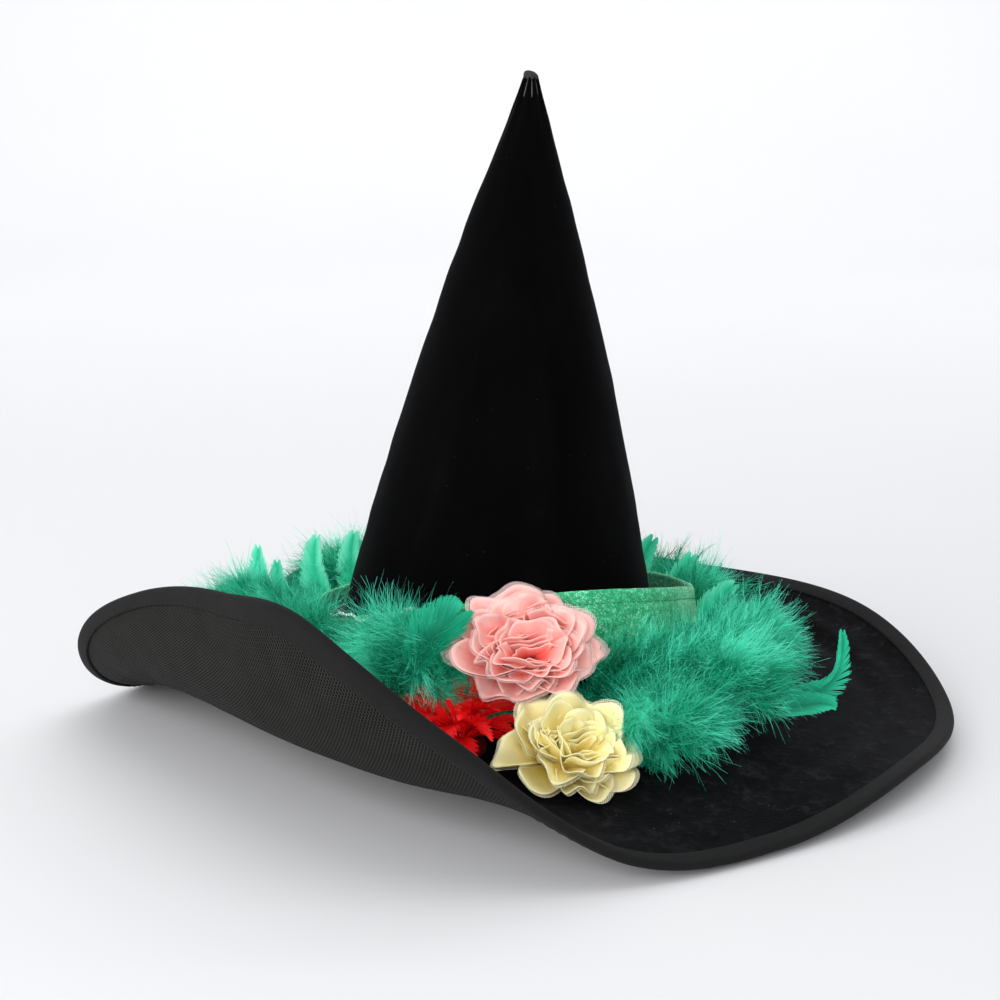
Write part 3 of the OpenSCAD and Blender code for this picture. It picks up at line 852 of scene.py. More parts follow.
def make_tip(finish):
    """Small gathered knot of velvet that closes the tip, pinched to one side."""
    h = np.linspace(0, 1, 18)
    a = np.linspace(0, 2 * np.pi, 72, endpoint=False)
    hh, aa = np.meshgrid(h, a)
    swell = np.sqrt(np.clip(1 - hh**2.2, 0, 1))
    pleat = 1 + 0.10 * np.sin(8 * aa + 2 * hh) * (0.4 + hh)
    r = TIP_R * 1.02 * swell * pleat + 0.0001
    raw = r[..., None] * out(aa)
    raw[..., 2] = CROWN_H - 0.001 + hh * TIP_R * 1.15
    raw[..., 0] -= 0.0016 * hh**2
    knot = Shell().grid(on_crown_axis(raw), np.stack([aa * TIP_R, hh * TIP_R], -1), loop=True).build("crown_tip_knot")
    settle(knot, finish, "crown_velvet", "crown_tip")


# ---------------------------------------------------------------- brim

RIM_TURNS = 400
RIM_ROWS = 44
CORE_ROWS = 20
TOP_T = 0.0009
NET_T = 0.0007
CORE_T = 0.0010
CORE_RISE = 0.00055


def creases(s, a):
    """Two soft ridges that run beside the edge at the back right, and shallow swells elsewhere."""
    width = cloth_r(a) - INNER_R
    inward = (1 - s) * width
    back_right = np.clip(np.cos(a - math.radians(38)) * 1.6 - 0.35, 0, 1)
    ridge = np.exp(-((inward - 0.030) / 0.006) ** 2) - 0.8 * np.exp(-((inward - 0.042) / 0.007) ** 2)
    ridge = ridge + 0.6 * np.exp(-((inward - 0.056) / 0.008) ** 2)
    p = s[..., None] * out(a)
    swell = noise(p, 7, 8) * 0.5 + noise(p, 16, 9) * 0.25
    edge = np.clip((inward - BINDING_W) / 0.012, 0, 1) * np.clip(s / 0.1, 0, 1)
    return edge * (0.0022 * ridge * back_right + 0.0012 * swell)


def brim_sheet(name, rise, across, flip):
    s = np.concatenate([np.linspace(0, 0.9, across, endpoint=False), np.linspace(0.9, 1, 14)])
    a = np.linspace(0, 2 * np.pi, RIM_TURNS, endpoint=False)
    ss, aa = np.meshgrid(s, a)
    points = brim_at(ss, aa, rise + creases(ss, aa))
    flat_r = INNER_R + (cloth_r(aa) - INNER_R) * ss
    uv = np.stack([flat_r * np.cos(aa), flat_r * np.sin(aa)], -1)
    return Shell().grid(points, uv, loop=True, flip=flip).build(name)


def brim_area():
    a = np.linspace(0, 2 * np.pi, 720, endpoint=False)
    return float(np.mean(np.pi * (cloth_r(a) ** 2 - INNER_R**2)))


def make_brim():
    top = thicken(brim_sheet("brim_velvet_cloth", OVER, RIM_ROWS, True), TOP_T)
    settle(top, brim_velvet(), "brim_velvet", "brim_velvet")
    brim_area()
    under = thicken(brim_sheet("brim_net_cloth", -UNDER, RIM_ROWS, False), NET_T)
    settle(under, brim_net(), "brim_net", "brim_net")
    brim_area()
    core = thicken(brim_sheet("brim_core_board", CORE_RISE, CORE_ROWS, True), CORE_T)
    settle(core, felted("buckram", (0.004, 0.004, 0.004), (0.012, 0.012, 0.012), 900, 0.0003), "buckram", "brim_core")
    brim_area()


def binding_section(a):
    """Section of the edge tape at each angle a: turned-in inner edges, and round over the wire."""
    width = cloth_r(a) - INNER_R
    outward, normal = brim_axes(np.full_like(a, 0.99), a)
    rim = brim_mid(np.ones_like(a), a)
    pucker = 0.00025 * np.sin(a * 520) + 0.0005 * noise(rim, 45, 12)

    def folded(share, side, gap):
        """Row of one face, at share of the tape's width from its inner edge."""
        s = 1 - (1 - share) * BINDING_W / width
        lift = gap + BINDING_T + 0.0002 * math.sin(math.pi * share) + pucker * math.exp(-((share - 0.12) / 0.08) ** 2)
        if share == 0.0:
            lift = np.full_like(a, gap + 0.0001)
        return brim_at(s, a, side * lift)

    shares = (0.0, 0.04, 0.12, 0.2, 0.35, 0.6, 0.85, 1.0)
    mid, half = (OVER - UNDER) / 2, (OVER + UNDER) / 2 + BINDING_T
    steps = [folded(share, 1, OVER) for share in shares]
    for q in np.radians([70, 48, 24, 0, -24, -48, -70]):
        reach = 0.0022 * math.cos(q) + 0.0012
        steps.append(rim + reach * outward + (mid + half * 0.92 * math.sin(q)) * normal)
    steps += [folded(share, -1, UNDER) for share in reversed(shares)]
    return np.stack(steps, 1)


def ring_length(line):
    """Length of a closed line of points."""
    return float(np.linalg.norm(line - np.roll(line, 1, axis=0), axis=-1).sum())


def make_binding(rows):
    a = np.linspace(0, 2 * np.pi, 2 * RIM_TURNS, endpoint=False)
    ring = binding_section(a)
    length = np.concatenate([[0], np.cumsum(np.linalg.norm(np.diff(ring[0], axis=0), axis=-1))])
    u = np.broadcast_to((a * BRIM_R)[:, None], ring.shape[:2])
    uv = np.stack([u, np.broadcast_to(length, ring.shape[:2])], -1)
    tape = thicken(Shell().grid(ring, uv, loop=True).build("brim_binding_tape"), BINDING_T * 0.6)
    settle(tape, binding_tape(), "binding", "brim_binding")
    ring_length(ring.mean(1))
    thread = felted("black_thread", (0.006, 0.006, 0.006), (0.022, 0.022, 0.023), 3000, 0.0001)
    faces = (("binding_stitches_top", 1, "stitch_top"), ("binding_stitches_under", -1, "stitch_under"))
    for name, side, node in faces:
        s = 1 - 0.86 * BINDING_W / (cloth_r(a) - INNER_R)
        rise = side * ((OVER if side > 0 else UNDER) + BINDING_T + 0.0002)
        line = guide_lines(name, [brim_at(s, a, rise)], closed=True)
        stitches = rows.grow(line, name, pitch=0.0031, length=0.0024, radius=0.00028, segments=6, rings=4,
                             material=thread)
        settle(stitches, None, "black_thread", node)


def make_sweatband():
    """Ribbon inside the foot of the crown."""
    inner = CROWN_R - WALLS["velvet"] - WALLS["buckram"] - WALLS["lining"]
    h = np.linspace(0.0006, FOOT_H, 10)
    a = np.linspace(0, 2 * np.pi, 240, endpoint=False)
    hh, aa = np.meshgrid(h, a)
    raw = (inner - 0.0001) * out(aa) + hh[..., None] * UP
    raw = raw - (0.0003 * (1 + noise(raw, 60, 21)))[..., None] * out(aa)
    uv = np.stack([aa * inner, hh], -1)
    ribbon = Shell().grid(on_crown_axis(raw), uv, loop=True, flip=True).build("sweatband_ribbon")
    ribbon = thicken(ribbon, 0.0012)
    settle(ribbon, ribbed("sweatband", (0.018, 0.018, 0.02), (0.05, 0.05, 0.055), 0.0012), "sweatband", "sweatband")


# ---------------------------------------------------------------- band, wadding and beads

HEM_AT = 0.17
WADDING_AT = 0.62
WADDING_RISE = 0.009


def band_side(a, down, stand):
    """Point on the band's face, down metres below its top edge, standing off by stand."""
    z = band_top(a) - down * (band_top(a) - band_foot(a))
    r = band_out(a, z)
    p = around(r, a, z)
    crush = 0.0010 * noise(p, 55, 31) + 0.0006 * noise(p, 130, 32)
    hem = -0.0006 * np.exp(-((down - HEM_AT) / 0.025) ** 2)
    return around(r + stand + crush + hem, a, z + 0.0006 * noise(p, 30, 33))


def make_band(rows):
    a = np.linspace(0, 2 * np.pi, 520, endpoint=False)
    half = BAND_T / 2
    section = []
    for down in np.linspace(1, 0.04, 22):
        section.append(band_side(a, down, half * 0.95))
    for q in np.radians([60, 90, 120]):
        section.append(band_side(a, 0.0, half * math.cos(q)) + [0, 0, half * (math.sin(q) - 1)])
    for down in np.linspace(0.04, 1, 16):
        section.append(band_side(a, down, -half * 0.95))
    ring = np.stack(section + section[:1], 1)
    length = np.concatenate([[0], np.cumsum(np.linalg.norm(np.diff(ring[0], axis=0), axis=-1))])
    u = np.broadcast_to((a * BAND_R)[:, None], ring.shape[:2])
    uv = np.stack([u, np.broadcast_to(length, ring.shape[:2])], -1)
    band = Shell().grid(ring, uv, loop=True).build("band_cloth")
    settle(band, crushed_velvet(), "band_velvet", "hat_band")
    around_band = ring_length(ring.mean(1))
    tall = float(np.mean(band_top(a) - band_foot(a)))

    line = guide_lines("band_stitches", [band_side(a, HEM_AT, half + 0.0002)], closed=True)
    thread = felted("green_thread", rgb(20, 95, 55), rgb(80, 170, 110), 3000, 0.0001)
    stitches = rows.grow(line, "band_stitches", pitch=0.0036, length=0.0029, radius=0.0003, segments=6, rings=4,
                         material=thread)
    settle(stitches, None, "green_thread", "band_stitch")

    middle = band_side(a, WADDING_AT, 0)
    near = around(np.full_like(a, CROWN_R + 0.0008), a, middle[:, 2])
    centre = (middle + near) / 2
    reach = np.linalg.norm(middle - near, axis=-1) / 2 - half
    sections = []
    for q in np.linspace(0, 2 * np.pi, 17):
        swell = 1 + 0.08 * noise(centre + 0.01 * math.cos(q), 60, 35)
        sections.append(centre + (reach * math.cos(q) * swell)[:, None] * out(a)
                        + (WADDING_RISE * math.sin(q) * swell)[:, None] * UP)
    ring = np.stack(sections, 1)
    wadding = Shell().grid(ring, np.stack([u[:, :17], u[:, :17]], -1), loop=True).build("band_wadding_roll")
    soft = felted("wadding", (0.012, 0.012, 0.013), (0.05, 0.05, 0.052), 500, 0.0006)
    settle(wadding, soft, "wadding", "band_wadding")


BEAD_R = 0.0015
BEAD_COUNT = 20
BEAD_FROM = math.radians(216)


def tube(name, line, radius, sides=6):
    """Round thread along a line of points, closed at both ends."""
    along = unit(np.gradient(line, axis=0))
    side = unit(np.cross(along, [0, 0, 1.0]))
    up = np.cross(side, along)
    thick = radius * np.concatenate([[0.01], np.ones(len(line) - 2), [0.01]])
    ring = [line + (thick * math.cos(q))[:, None] * side + (thick * math.sin(q))[:, None] * up
            for q in np.linspace(0, 2 * np.pi, sides + 1)]
    points = np.stack(ring, 1)
    return Shell().grid(points, np.zeros(points.shape[:2] + (2,)), flip=True).build(name)


def make_beads(rows):
    pitch = 2 * BEAD_R * 1.03
    a = BEAD_FROM + np.linspace(0, BEAD_COUNT * pitch / BAND_R, 60)
    share = np.linspace(0, 1, len(a))
    over = np.clip((share - 0.25) / 0.2, 0, 1)
    swag = 0.004 * np.sin(math.pi * np.clip((share - 0.3) / 0.7, 0, 1)) + 0.0008 * np.sin(31 * share)
    r = BAND_R + over * (BAND_T / 2 + BEAD_R)
    line = guide_lines("bead_strand", [around(r, a, band_top(a) + BEAD_R * (1 - over) - swag)])
    places = np.array([v.co for v in line.data.vertices])
    thread = tube("bead_thread_line", places, 0.0003)
    settle(thread, bpy.data.materials["green_thread"], "green_thread", "bead_thread")
    strand = rows.grow(line, "bead_strand", pitch=pitch, length=2 * BEAD_R, radius=BEAD_R, segments=14, rings=8,
                       material=silver())
    settle(strand, None, "silver_bead", "beads")


# ---------------------------------------------------------------- feather boa

# Angle, distance past the band, reach, width and height of each lobe, in degrees and millimetres.
TUFTS = [
    [322, 11, 66, 84, 56], [303, 26, 48, 66, 36], [355, 11, 50, 74, 42],
    [36, 11, 40, 80, 42], [84, 11, 38, 88, 42], [130, 11, 46, 82, 48],
    [176, 11, 48, 80, 50], [222, 9, 38, 72, 84], [250, 9, 32, 56, 88],
]
CORD_R = 0.003
# The down of a lobe taller than this, in millimetres, has settled by so much.
TALL_TUFT = 80
SETTLED = 18
# Barbs that touch the brim lie this far above its cloth, and the rest stack up on them at this share of their depth.
PILE = 0.0006
PACKED = 0.1


def boa_r(a):
    return band_out(a, band_foot(a)) + BAND_T / 2 + CORD_R + 0.001


def cord_at(a):
    r = boa_r(a)
    return around(r, a, brim_top_z(r, a) + CORD_R + 0.0004)


def bow(start, middle, end, steps):
    """Points along quadratic curves; start, middle and end have shape (n, 3)."""
    t = np.linspace(0, 1, steps)[None, :, None]
    return (1 - t) ** 2 * start[:, None] + 2 * t * (1 - t) * middle[:, None] + t**2 * end[:, None]


def rest_on_brim(piece):
    """Lifts the barbs that would pass through the brim, so that they lie on the velvet."""
    mesh = piece.data
    places = np.empty(3 * len(mesh.vertices), np.float32)
    mesh.vertices.foreach_get("co", places)
    places = places.reshape(-1, 3)
    flat = places[:, :2] - FOOT[:2]
    r, a = np.hypot(flat[:, 0], flat[:, 1]), np.arctan2(flat[:, 1], flat[:, 0])
    over_brim = (r > INNER_R) & (r < cloth_r(a)) & (flat @ out(np.array(ROLL_DIR))[:2] < ROLL_FROM)
    depth = brim_top_z(np.maximum(r, INNER_R), a) + PILE - places[:, 2]
    places[:, 2] += np.where(over_brim & (depth > 0), (1 + PACKED) * depth, 0)
    mesh.vertices.foreach_set("co", places.ravel())
    mesh.update()
    return piece


class Down:
    """Gathers quills, and grows their barbs as one piece."""

    def __init__(self, seed):
        self.draw = np.random.default_rng(seed)
        self.seed = seed
        self.lines, self.size, self.tone = [], [], []

    def add(self, starts, middles, ends, size, tone):
        self.lines.append(bow(starts, middles, ends, 9))
        self.size.append(size)
        self.tone.append(tone)

    def grow(self, feathers, name, material, **sizes):
        lines = np.concatenate(self.lines)
        across = np.cross(lines[:, -1] - lines[:, 0], self.draw.normal(size=(len(lines), 3)))
        facing = np.broadcast_to(unit(across)[:, None], lines.shape)
        guide = guide_lines(name, lines, reach=np.concatenate(self.size), tone=np.concatenate(self.tone),
                            facing=facing)
        wanted = dict(barbs=58, barb_width=0.00036, spread=0.66, spin=3.1, curl=0.30, waviness=0.0065,
                      wave_scale=55.0, root_length=0.8, tip_length=0.6, quill_radius=0.00022,
                      shortest=0.5, longest=1.4)
        wanted.update(sizes)
        return rest_on_brim(feathers.grow(guide, name, seed=self.seed, material=material, **wanted))


def lobe(number, row):
    """Middle, half sizes and axes of one lobe of the boa."""
    angle, past, reach, width, height = row
    a = np.array(math.radians(angle))
    low, high = (np.array(corner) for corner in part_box(f"boa_tuft_{number}"))
    if height > TALL_TUFT:
        high[2] -= MM * SETTLED
        height -= SETTLED
    middle = (BAND_R + MM * (past + reach / 2)) * out(a) + [FOOT[0], FOOT[1], (low[2] + high[2]) / 2]
    axes = np.stack([out(a), out(a + math.pi / 2), UP])
    return middle, MM * np.array([reach, width, height]) / 2, axes


def make_boa(feathers):
    # boa_down keeps plumage's default painted glow.
    down = plumage("boa_down", rgb(0, 84, 60), rgb(0, 160, 118), rgb(92, 236, 202), 0.0)
    # deep, the boa_shade felt, is the dark green of painted shade: it colours the core lumps and the cord hidden in
    # the down.
    deep = felted("boa_shade", rgb(0, 88, 64), rgb(0, 128, 94), 300, 0.001)
    for number, row in enumerate(TUFTS, 1):
        middle, half, axes = lobe(number, row)
        q = np.linspace(0, 2 * np.pi, 48, endpoint=False)
        e = np.linspace(-np.pi / 2, np.pi / 2, 26)
        ee, qq = np.meshgrid(e, q)
        ball = np.stack([np.cos(ee) * np.cos(qq), np.cos(ee) * np.sin(qq), np.sin(ee)], -1)
        # Each lobe's dark core lump is painted shade: a solid of shaded green set in the depth of the down.
        core = middle + (0.60 * half * ball) @ axes
        core = core + (0.004 * noise(core, 90, 40))[..., None] * (ball @ axes)
        lump = Shell().grid(core, np.stack([qq, ee], -1) * 0.02, loop=True).build(f"boa_shade_core_{number}")
        settle(lump, deep, "green_feather")

        tuft = Down(100 + number)
        draw, count = tuft.draw, int(120 + 1.1 * row[3])
        toward = unit(draw.normal((0.45, 0, 0.35), (0.75, 0.95, 0.75), (count, 3)))
        toward[:, 2] = np.where(toward[:, 2] < -0.35, -toward[:, 2], toward[:, 2])
        lock = noise(toward, 2.4, 50 + number)
        depth = (0.76 + 0.26 * draw.random(count) + 0.14 * lock)[:, None]
        tips = middle + (toward * half * depth) @ axes
        tips[:, 2] = np.maximum(tips[:, 2], middle[2] - half[2] + 0.003)
        starts = middle + (toward * half * 0.22 - half * [0.45, 0, 0.15]) @ axes
        bends = 0.35 * starts + 0.65 * tips + draw.normal(0, 0.005, (count, 3)) + [0, 0, 0.004]
        tuft.add(starts, bends, tips, 0.0115 + 0.008 * draw.random(count),
                 0.36 + 0.5 * lock + draw.normal(0, 0.1, count))
        # The long wisps get a higher tone, so they come out paler: painted light through the thin outer down.
        long = draw.permutation(count)[:count // 4]
        wisps = tips[long] + 0.10 * (tips[long] - starts[long]) + draw.normal(0, 0.003, (len(long), 3))
        wisps[:, 2] = np.clip(wisps[:, 2], middle[2] - half[2] + 0.004, middle[2] + 0.92 * half[2])
        tuft.add(0.5 * (starts[long] + bends[long]), bends[long], wisps, 0.018 + 0.009 * draw.random(len(long)),
                 0.62 + 0.3 * lock[long] + draw.normal(0, 0.1, len(long)))
        fluff = tuft.grow(feathers, f"boa_down_{number}", down)
        settle(fluff, None, "green_feather", f"boa_tuft_{number}")
    make_loose_down(feathers, down)
    make_cord(deep)


def make_loose_down(feathers, down):
    """Down that stands off the cord all the way round, and a lock that falls over the yellow flower."""
    loose = Down(150)
    draw, count = loose.draw, 330
    a = np.linspace(0, 2 * np.pi, count, endpoint=False) + draw.normal(0, 0.02, count)
    front = np.exp(-(((np.degrees(a) % 360) - 279) / 17) ** 2)
    starts = cord_at(a)
    push = (0.010 + 0.026 * draw.random(count)) * (1 - 0.75 * front)
    back_left = np.exp(-(((np.degrees(a) % 360) - 140) / 32) ** 2)
    climb = (0.016 + 0.034 * draw.random(count)) * (1 - 0.7 * front - 0.45 * back_left)
    tips = starts + push[:, None] * out(a) + draw.normal(0, 0.010, (count, 1)) * out(a + math.pi / 2)
    tips[:, 2] += climb
    bends = starts + 0.3 * (tips - starts) + draw.normal(0, 0.003, (count, 3)) + [0, 0, 0.008]
    loose.add(starts, bends, tips, (0.010 + 0.006 * draw.random(count)) * (1 - 0.4 * front),
              0.35 + draw.normal(0, 0.15, count))
    settle(loose.grow(feathers, "boa_loose_down", down, barbs=52), None, "green_feather")

    breast = Down(155)
    draw, count = breast.draw, 170
    a = np.radians(draw.uniform(293, 338, count))
    starts = cord_at(a) + [0, 0, 0.004]
    tips = starts + (0.006 + 0.030 * draw.random((count, 1))) * out(a)
    tips = tips + draw.normal(0, 0.008, (count, 1)) * out(a + 1.6)
    tips[:, 2] += 0.014 + 0.036 * draw.random(count)
    bends = starts + 0.3 * (tips - starts) + [0, 0, 0.010]
    breast.add(starts, bends, tips, 0.011 + 0.008 * draw.random(count), 0.4 + draw.normal(0, 0.16, count))
    settle(breast.grow(feathers, "boa_front_down", down, barbs=60), None, "green_feather")

    fall = Down(160)
    draw, count = fall.draw, 34
    spread = draw.normal(0, 0.005, (count, 3))
    starts = past_band(305, 30, 44) + 1.6 * spread
    tips = past_band(300.5, 62, 22) + 0.7 * spread
    tips = tips - (tips - starts) * (0.45 * draw.random(count))[:, None]
    bends = (starts + tips) / 2 + [-0.004, -0.006, 0.008]
    fall.add(starts, bends, tips, 0.009 + 0.004 * draw.random(count), 0.5 + draw.normal(0, 0.15, count))
    settle(fall.grow(feathers, "boa_falling_lock", down, spread=0.42), None, "green_feather")


def make_cord(material):
    a = np.linspace(0, 2 * np.pi, 420, endpoint=False)
    middle = cord_at(a)
    sections = []
    for q in np.linspace(0, 2 * np.pi, 13):
        r = CORD_R * (0.9 + 0.1 * np.cos(3 * (q + 70 * a)))
        sections.append(middle + (r * math.cos(q))[:, None] * out(a) + (r * math.sin(q))[:, None] * UP)
    ring = np.stack(sections, 1)
    uv = np.zeros(ring.shape[:2] + (2,))
    cord = Shell().grid(ring, uv, loop=True).build("boa_twisted_cord")
    settle(cord, material, "boa_cord", "boa_cord")


# Root angle, place of the tip (angle, distance past the band, height), bow and half width, in millimetres.
PLUMES_LEFT = [
    [160, [153, 53, 88], [-8, 0, -6], 7], [152, [151, 43, 78], [-6, 0, -4], 6],
    [144, [141, 33, 90], [-6, 0, 0], 7], [134, [133, 19, 92], [-4, 0, 0], 7],
    [121, [121, 18, 84], [-4, 0, 0], 7],
]
PLUMES_RIGHT = [
    [46, [46, 26, 86], [-4, 0, 0], 8], [35, [34, 32, 80], [2, 0, 4], 8],
    [20, [19, 37, 70], [2, 0, 4], 8],
]
HACKLES = [
    [[-28, 62, 47], [-17, 91, 72], [10, -4, -12], 6], [[-35.5, 74, 42], [-30.5, 98, 46], [4, 0, 3], 5],
]
SMOOTH = [[[252.5, 36, 74], [261, 31, 106], [-2, -3, 2], 11]]


def past_band(angle, past, height):
    a = np.array([math.radians(angle)])
    return around(BAND_R + np.array([MM * past]), a, np.array([MM * height]))[0]


def make_plumes(feathers):
    # The last number of each plumage is its painted glow.
    thin = plumage("boa_plumes", rgb(20, 156, 116), rgb(44, 198, 154), rgb(120, 230, 196), 0.0, 0.16)
    glossy = plumage("boa_blades", rgb(0, 104, 76), rgb(0, 150, 112), rgb(40, 200, 158), 0.1, 0.05)
    settings = dict(barb_width=0.0012, spread=0.5, spin=0.06, curl=0.05, waviness=0.0020, wave_scale=45.0,
                    root_length=0.5, tip_length=0.22, quill_radius=0.0003, shortest=0.92, longest=1.06)
    groups = {"plumes_left": PLUMES_LEFT, "plumes_right": PLUMES_RIGHT, "hackle_feathers": HACKLES,
              "smooth_feather": SMOOTH}
    for number, (node, rows) in enumerate(groups.items()):
        starts, ends, bows, sizes = [], [], [], []
        for first, tip, swerve, half in rows:
            if isinstance(first, list):
                starts.append(past_band(*first))
            else:
                starts.append(cord_at(np.array([math.radians(first)]))[0] + [0, 0, CORD_R])
            ends.append(past_band(*tip))
            bows.append(MM * np.array(swerve, float))
            sizes.append(MM * half * 2.7)
        starts, ends = np.array(starts), np.array(ends)
        lines = bow(starts, (starts + ends) / 2 + 2 * np.array(bows), ends, 16)
        facing = np.broadcast_to(unit(np.array([0.3, -1, 0.15])), lines.shape)
        tone = 0.5 + 0.12 * np.cos(np.arange(len(rows)) * 2.4)
        guide = guide_lines(node + "_vanes", lines, reach=np.array(sizes), tone=tone, facing=facing)
        vanes = feathers.grow(guide, node + "_vanes", barbs=420, seed=300 + number,
                              material=thin if node.startswith("plumes") else glossy, **settings)
        settle(vanes, None, "green_feather", node)


# ---------------------------------------------------------------- flowers

PETAL_T = 0.0004
TULLE_T = 0.00012
TULLE_PAST = 1.055
# Radius and seat of each flower: angle and height on the band, or distance past the band and angle, then tilt.
PINK_R = 0.0395
PINK_SEAT = (275.5, 0.074, math.radians(40))
YELLOW_R = 0.0395
YELLOW_SEAT = (0.052, 281, math.radians(25))
RED_SEAT = (0.0285, 262)
PAD_R = 0.015


class Seat:
    """Axes for a flower: its own z points out of the flower's face."""

    def __init__(self, origin, tilt, a, lift=0.0):
        c, s = math.cos(tilt), math.sin(tilt)
        self.axes = np.array([
            [c * math.cos(a), c * math.sin(a), -s], [-math.sin(a), math.cos(a), 0],
            [s * math.cos(a), s * math.sin(a), c]])
        self.origin = np.asarray(origin) + lift * self.axes[2]
        self.stretch = np.array([1.0, 1.0, 1.0])

    def world(self, p):
        return self.origin + (p * self.stretch) @ self.axes


def seat_on_band(angle, height, tilt, pad_r):
    a = math.radians(angle)
    r = band_out(np.array([a]), np.array([height])) + BAND_T / 2
    point = around(r, np.array([a]), np.array([height]))[0]
    return Seat(point, math.pi / 2 - tilt, a, pad_r * math.sin(tilt))


def seat_on_brim(past, angle, lean=0.0, pad_r=PAD_R):
    """Seat on the brim; lean turns it outwards about the outer edge of its pad."""
    a = np.array([math.radians(angle)])
    s = (BAND_R + past - INNER_R) / (cloth_r(a) - INNER_R)
    normal = brim_axes(s, a)[1][0]
    point = brim_at(s, a, np.array([OVER + 0.0002]))[0]
    tilt, away = math.acos(normal[2]), math.atan2(normal[1], normal[0])
    flat = Seat(point, tilt, away)
    leant = Seat(point, tilt + lean, away)
    leant.origin = flat.world(np.array([pad_r, 0, 0])) - pad_r * leant.axes[0]
    return leant


def petal(shell, seat, angle, root, reach, fan, rise, end, lift, cup=0.1, ruffle=0.0012, waves=3.0, seed=1,
          centre=(0.0, 0.0), grow=1.0):
    """Fan of cloth that leaves the flower's middle at angle, climbing at rise and ending at slope end."""
    t = np.linspace(0.02, 1, 13)
    u = np.linspace(-1, 1, 23)
    tt, uu = np.meshgrid(t, u)
    edge = reach * grow * (1 - 0.26 * np.abs(uu) ** 2.6)
    edge = edge * (1 + 0.05 * np.sin(2.3 * uu + seed) + 0.025 * np.sin(6 * uu + 2 * seed))
    forward = edge * tt * np.cos(uu * fan)
    sideways = edge * tt * np.sin(uu * fan)
    bend = end - rise if abs(end - rise) > 1e-3 else 1e-3
    slope = rise + bend * forward / reach
    radial = root + reach / bend * (np.sin(slope) - math.sin(rise))
    height = lift + reach / bend * (math.cos(rise) - np.cos(slope))
    fold = ruffle * tt**1.6 * np.sin(waves * math.pi * uu + 1.7 * seed) * (0.6 + 0.4 * np.cos(2.3 * uu + seed))
    p = np.stack([radial, sideways, height], -1)
    crumple = 0.0016 * tt * noise(p + 0.37 * seed, 85, 60 + seed % 7)
    away = cup * reach * uu**2 * tt**1.3 + fold + crumple
    p[..., 0] -= away * np.sin(slope)
    p[..., 2] += away * np.cos(slope)
    c, s = math.cos(angle), math.sin(angle)
    p = np.stack([c * p[..., 0] - s * p[..., 1], s * p[..., 0] + c * p[..., 1], p[..., 2]], -1)
    p = p + [centre[0], centre[1], 0]
    shell.grid(seat.world(p), np.stack([sideways, forward], -1), along=tt)


def hairpin(shell, seat, long, wide, turn, low, high, flare, centre, phase):
    """Strip of cloth standing on edge, folded back on itself round a long loop."""
    v = np.linspace(0, 1, 60)
    t = np.linspace(0, 1, 9)
    tt, vv = np.meshgrid(t, v)
    q = math.radians(25) + vv * math.radians(310)
    grow = 1 + flare * tt**1.5
    x = long * np.cos(q) * grow
    y = wide * np.sin(q) * grow * (1 + 0.25 * np.cos(q))
    wave = 0.0015 * tt * np.sin(4 * q + 2 * phase) + 0.0004 * tt * np.sin(11 * q + phase)
    z = low + (high - low) * tt + 0.0022 * np.sin(3 * q + phase) * tt
    x, y = x + wave * np.cos(q), y + wave * np.sin(q)
    c, s = math.cos(turn), math.sin(turn)
    p = np.stack([c * x - s * y + centre[0], s * x + c * y + centre[1], z], -1)
    length = np.broadcast_to(v[:, None] * (long + wide) * 3, tt.shape)
    # along keeps each folded strip darker at its foot: painted shade deep in the heart of the flower.
    shell.grid(seat.world(p), np.stack([length, tt * (high - low)], -1), along=0.15 + 0.8 * tt)


def declare_gathered(shell):
    """Works out the flat area of one ring's cloth and leaves it unused; the petals of one ring are one strip of
    cloth, gathered along its inner edge.
    """
    area = shell.flat_area()


def rosette(name, seat, size, nests, cloth, net, nodes, seed):
    """Flower of gathered cloth: three rings of petals, nests of folded strips in the heart, net behind."""
    draw = np.random.default_rng(seed)
    slot = f"{name}_satin"
    heart = nests[0][:2]
    rings = [("outer", 12, 0.98, 0.43, 12, 32, 0.0025, 0.0), ("middle", 11, 0.87, 0.44, 30, 46, 0.0042, 0.4),
             ("heart", 9, 0.70, 0.50, 50, 60, 0.006, 0.8)]
    for (ring, count, share, fan, rise, end, lift, drift), node in zip(rings, nodes):
        petals, veils = Shell(), Shell()
        for i in range(count):
            angle = 2 * math.pi * (i + 0.5 * drift) / count + draw.normal(0, 0.06)
            values = dict(
                root=0.003, reach=size * share * draw.uniform(0.90, 1.06), fan=fan * draw.uniform(1.0, 1.3),
                rise=math.radians(rise + draw.normal(0, 5)), end=math.radians(end + draw.normal(0, 10)),
                lift=lift + 0.0009 * (i % 2), cup=draw.uniform(0.0, 0.30), waves=draw.uniform(1.0, 2.4),
                ruffle=0.0036 * draw.uniform(0.5, 1.3), seed=seed + 3 * i,
                centre=(drift * heart[0], drift * heart[1]))
            petal(petals, seat, angle, **values)
            if ring != "heart":
                values.update(lift=values["lift"] - 0.0006, grow=TULLE_PAST, cup=values["cup"] - 0.02)
                petal(veils, seat, angle + 0.04, **values)
        if ring == "heart":
            for nest, (x, y, long, wide, turn, count) in enumerate(nests):
                for k in range(count):
                    inner = 1 - 0.8 * k / count
                    hairpin(petals, seat, long * inner, wide * inner, math.radians(turn) + 0.12 * k, 0.006,
                            size * (0.58 - 0.035 * k), 0.30, (x, y), seed + 2 * nest + 0.5 * k)
        piece = thicken(petals.build(f"{name}_{ring}_petals"), PETAL_T, 0.0)
        settle(piece, cloth, slot, node)
        declare_gathered(petals)
        if ring != "heart":
            veil = thicken(veils.build(f"{name}_{ring}_tulle"), TULLE_T, 0.0)
            settle(veil, net, slot)
            declare_gathered(veils)


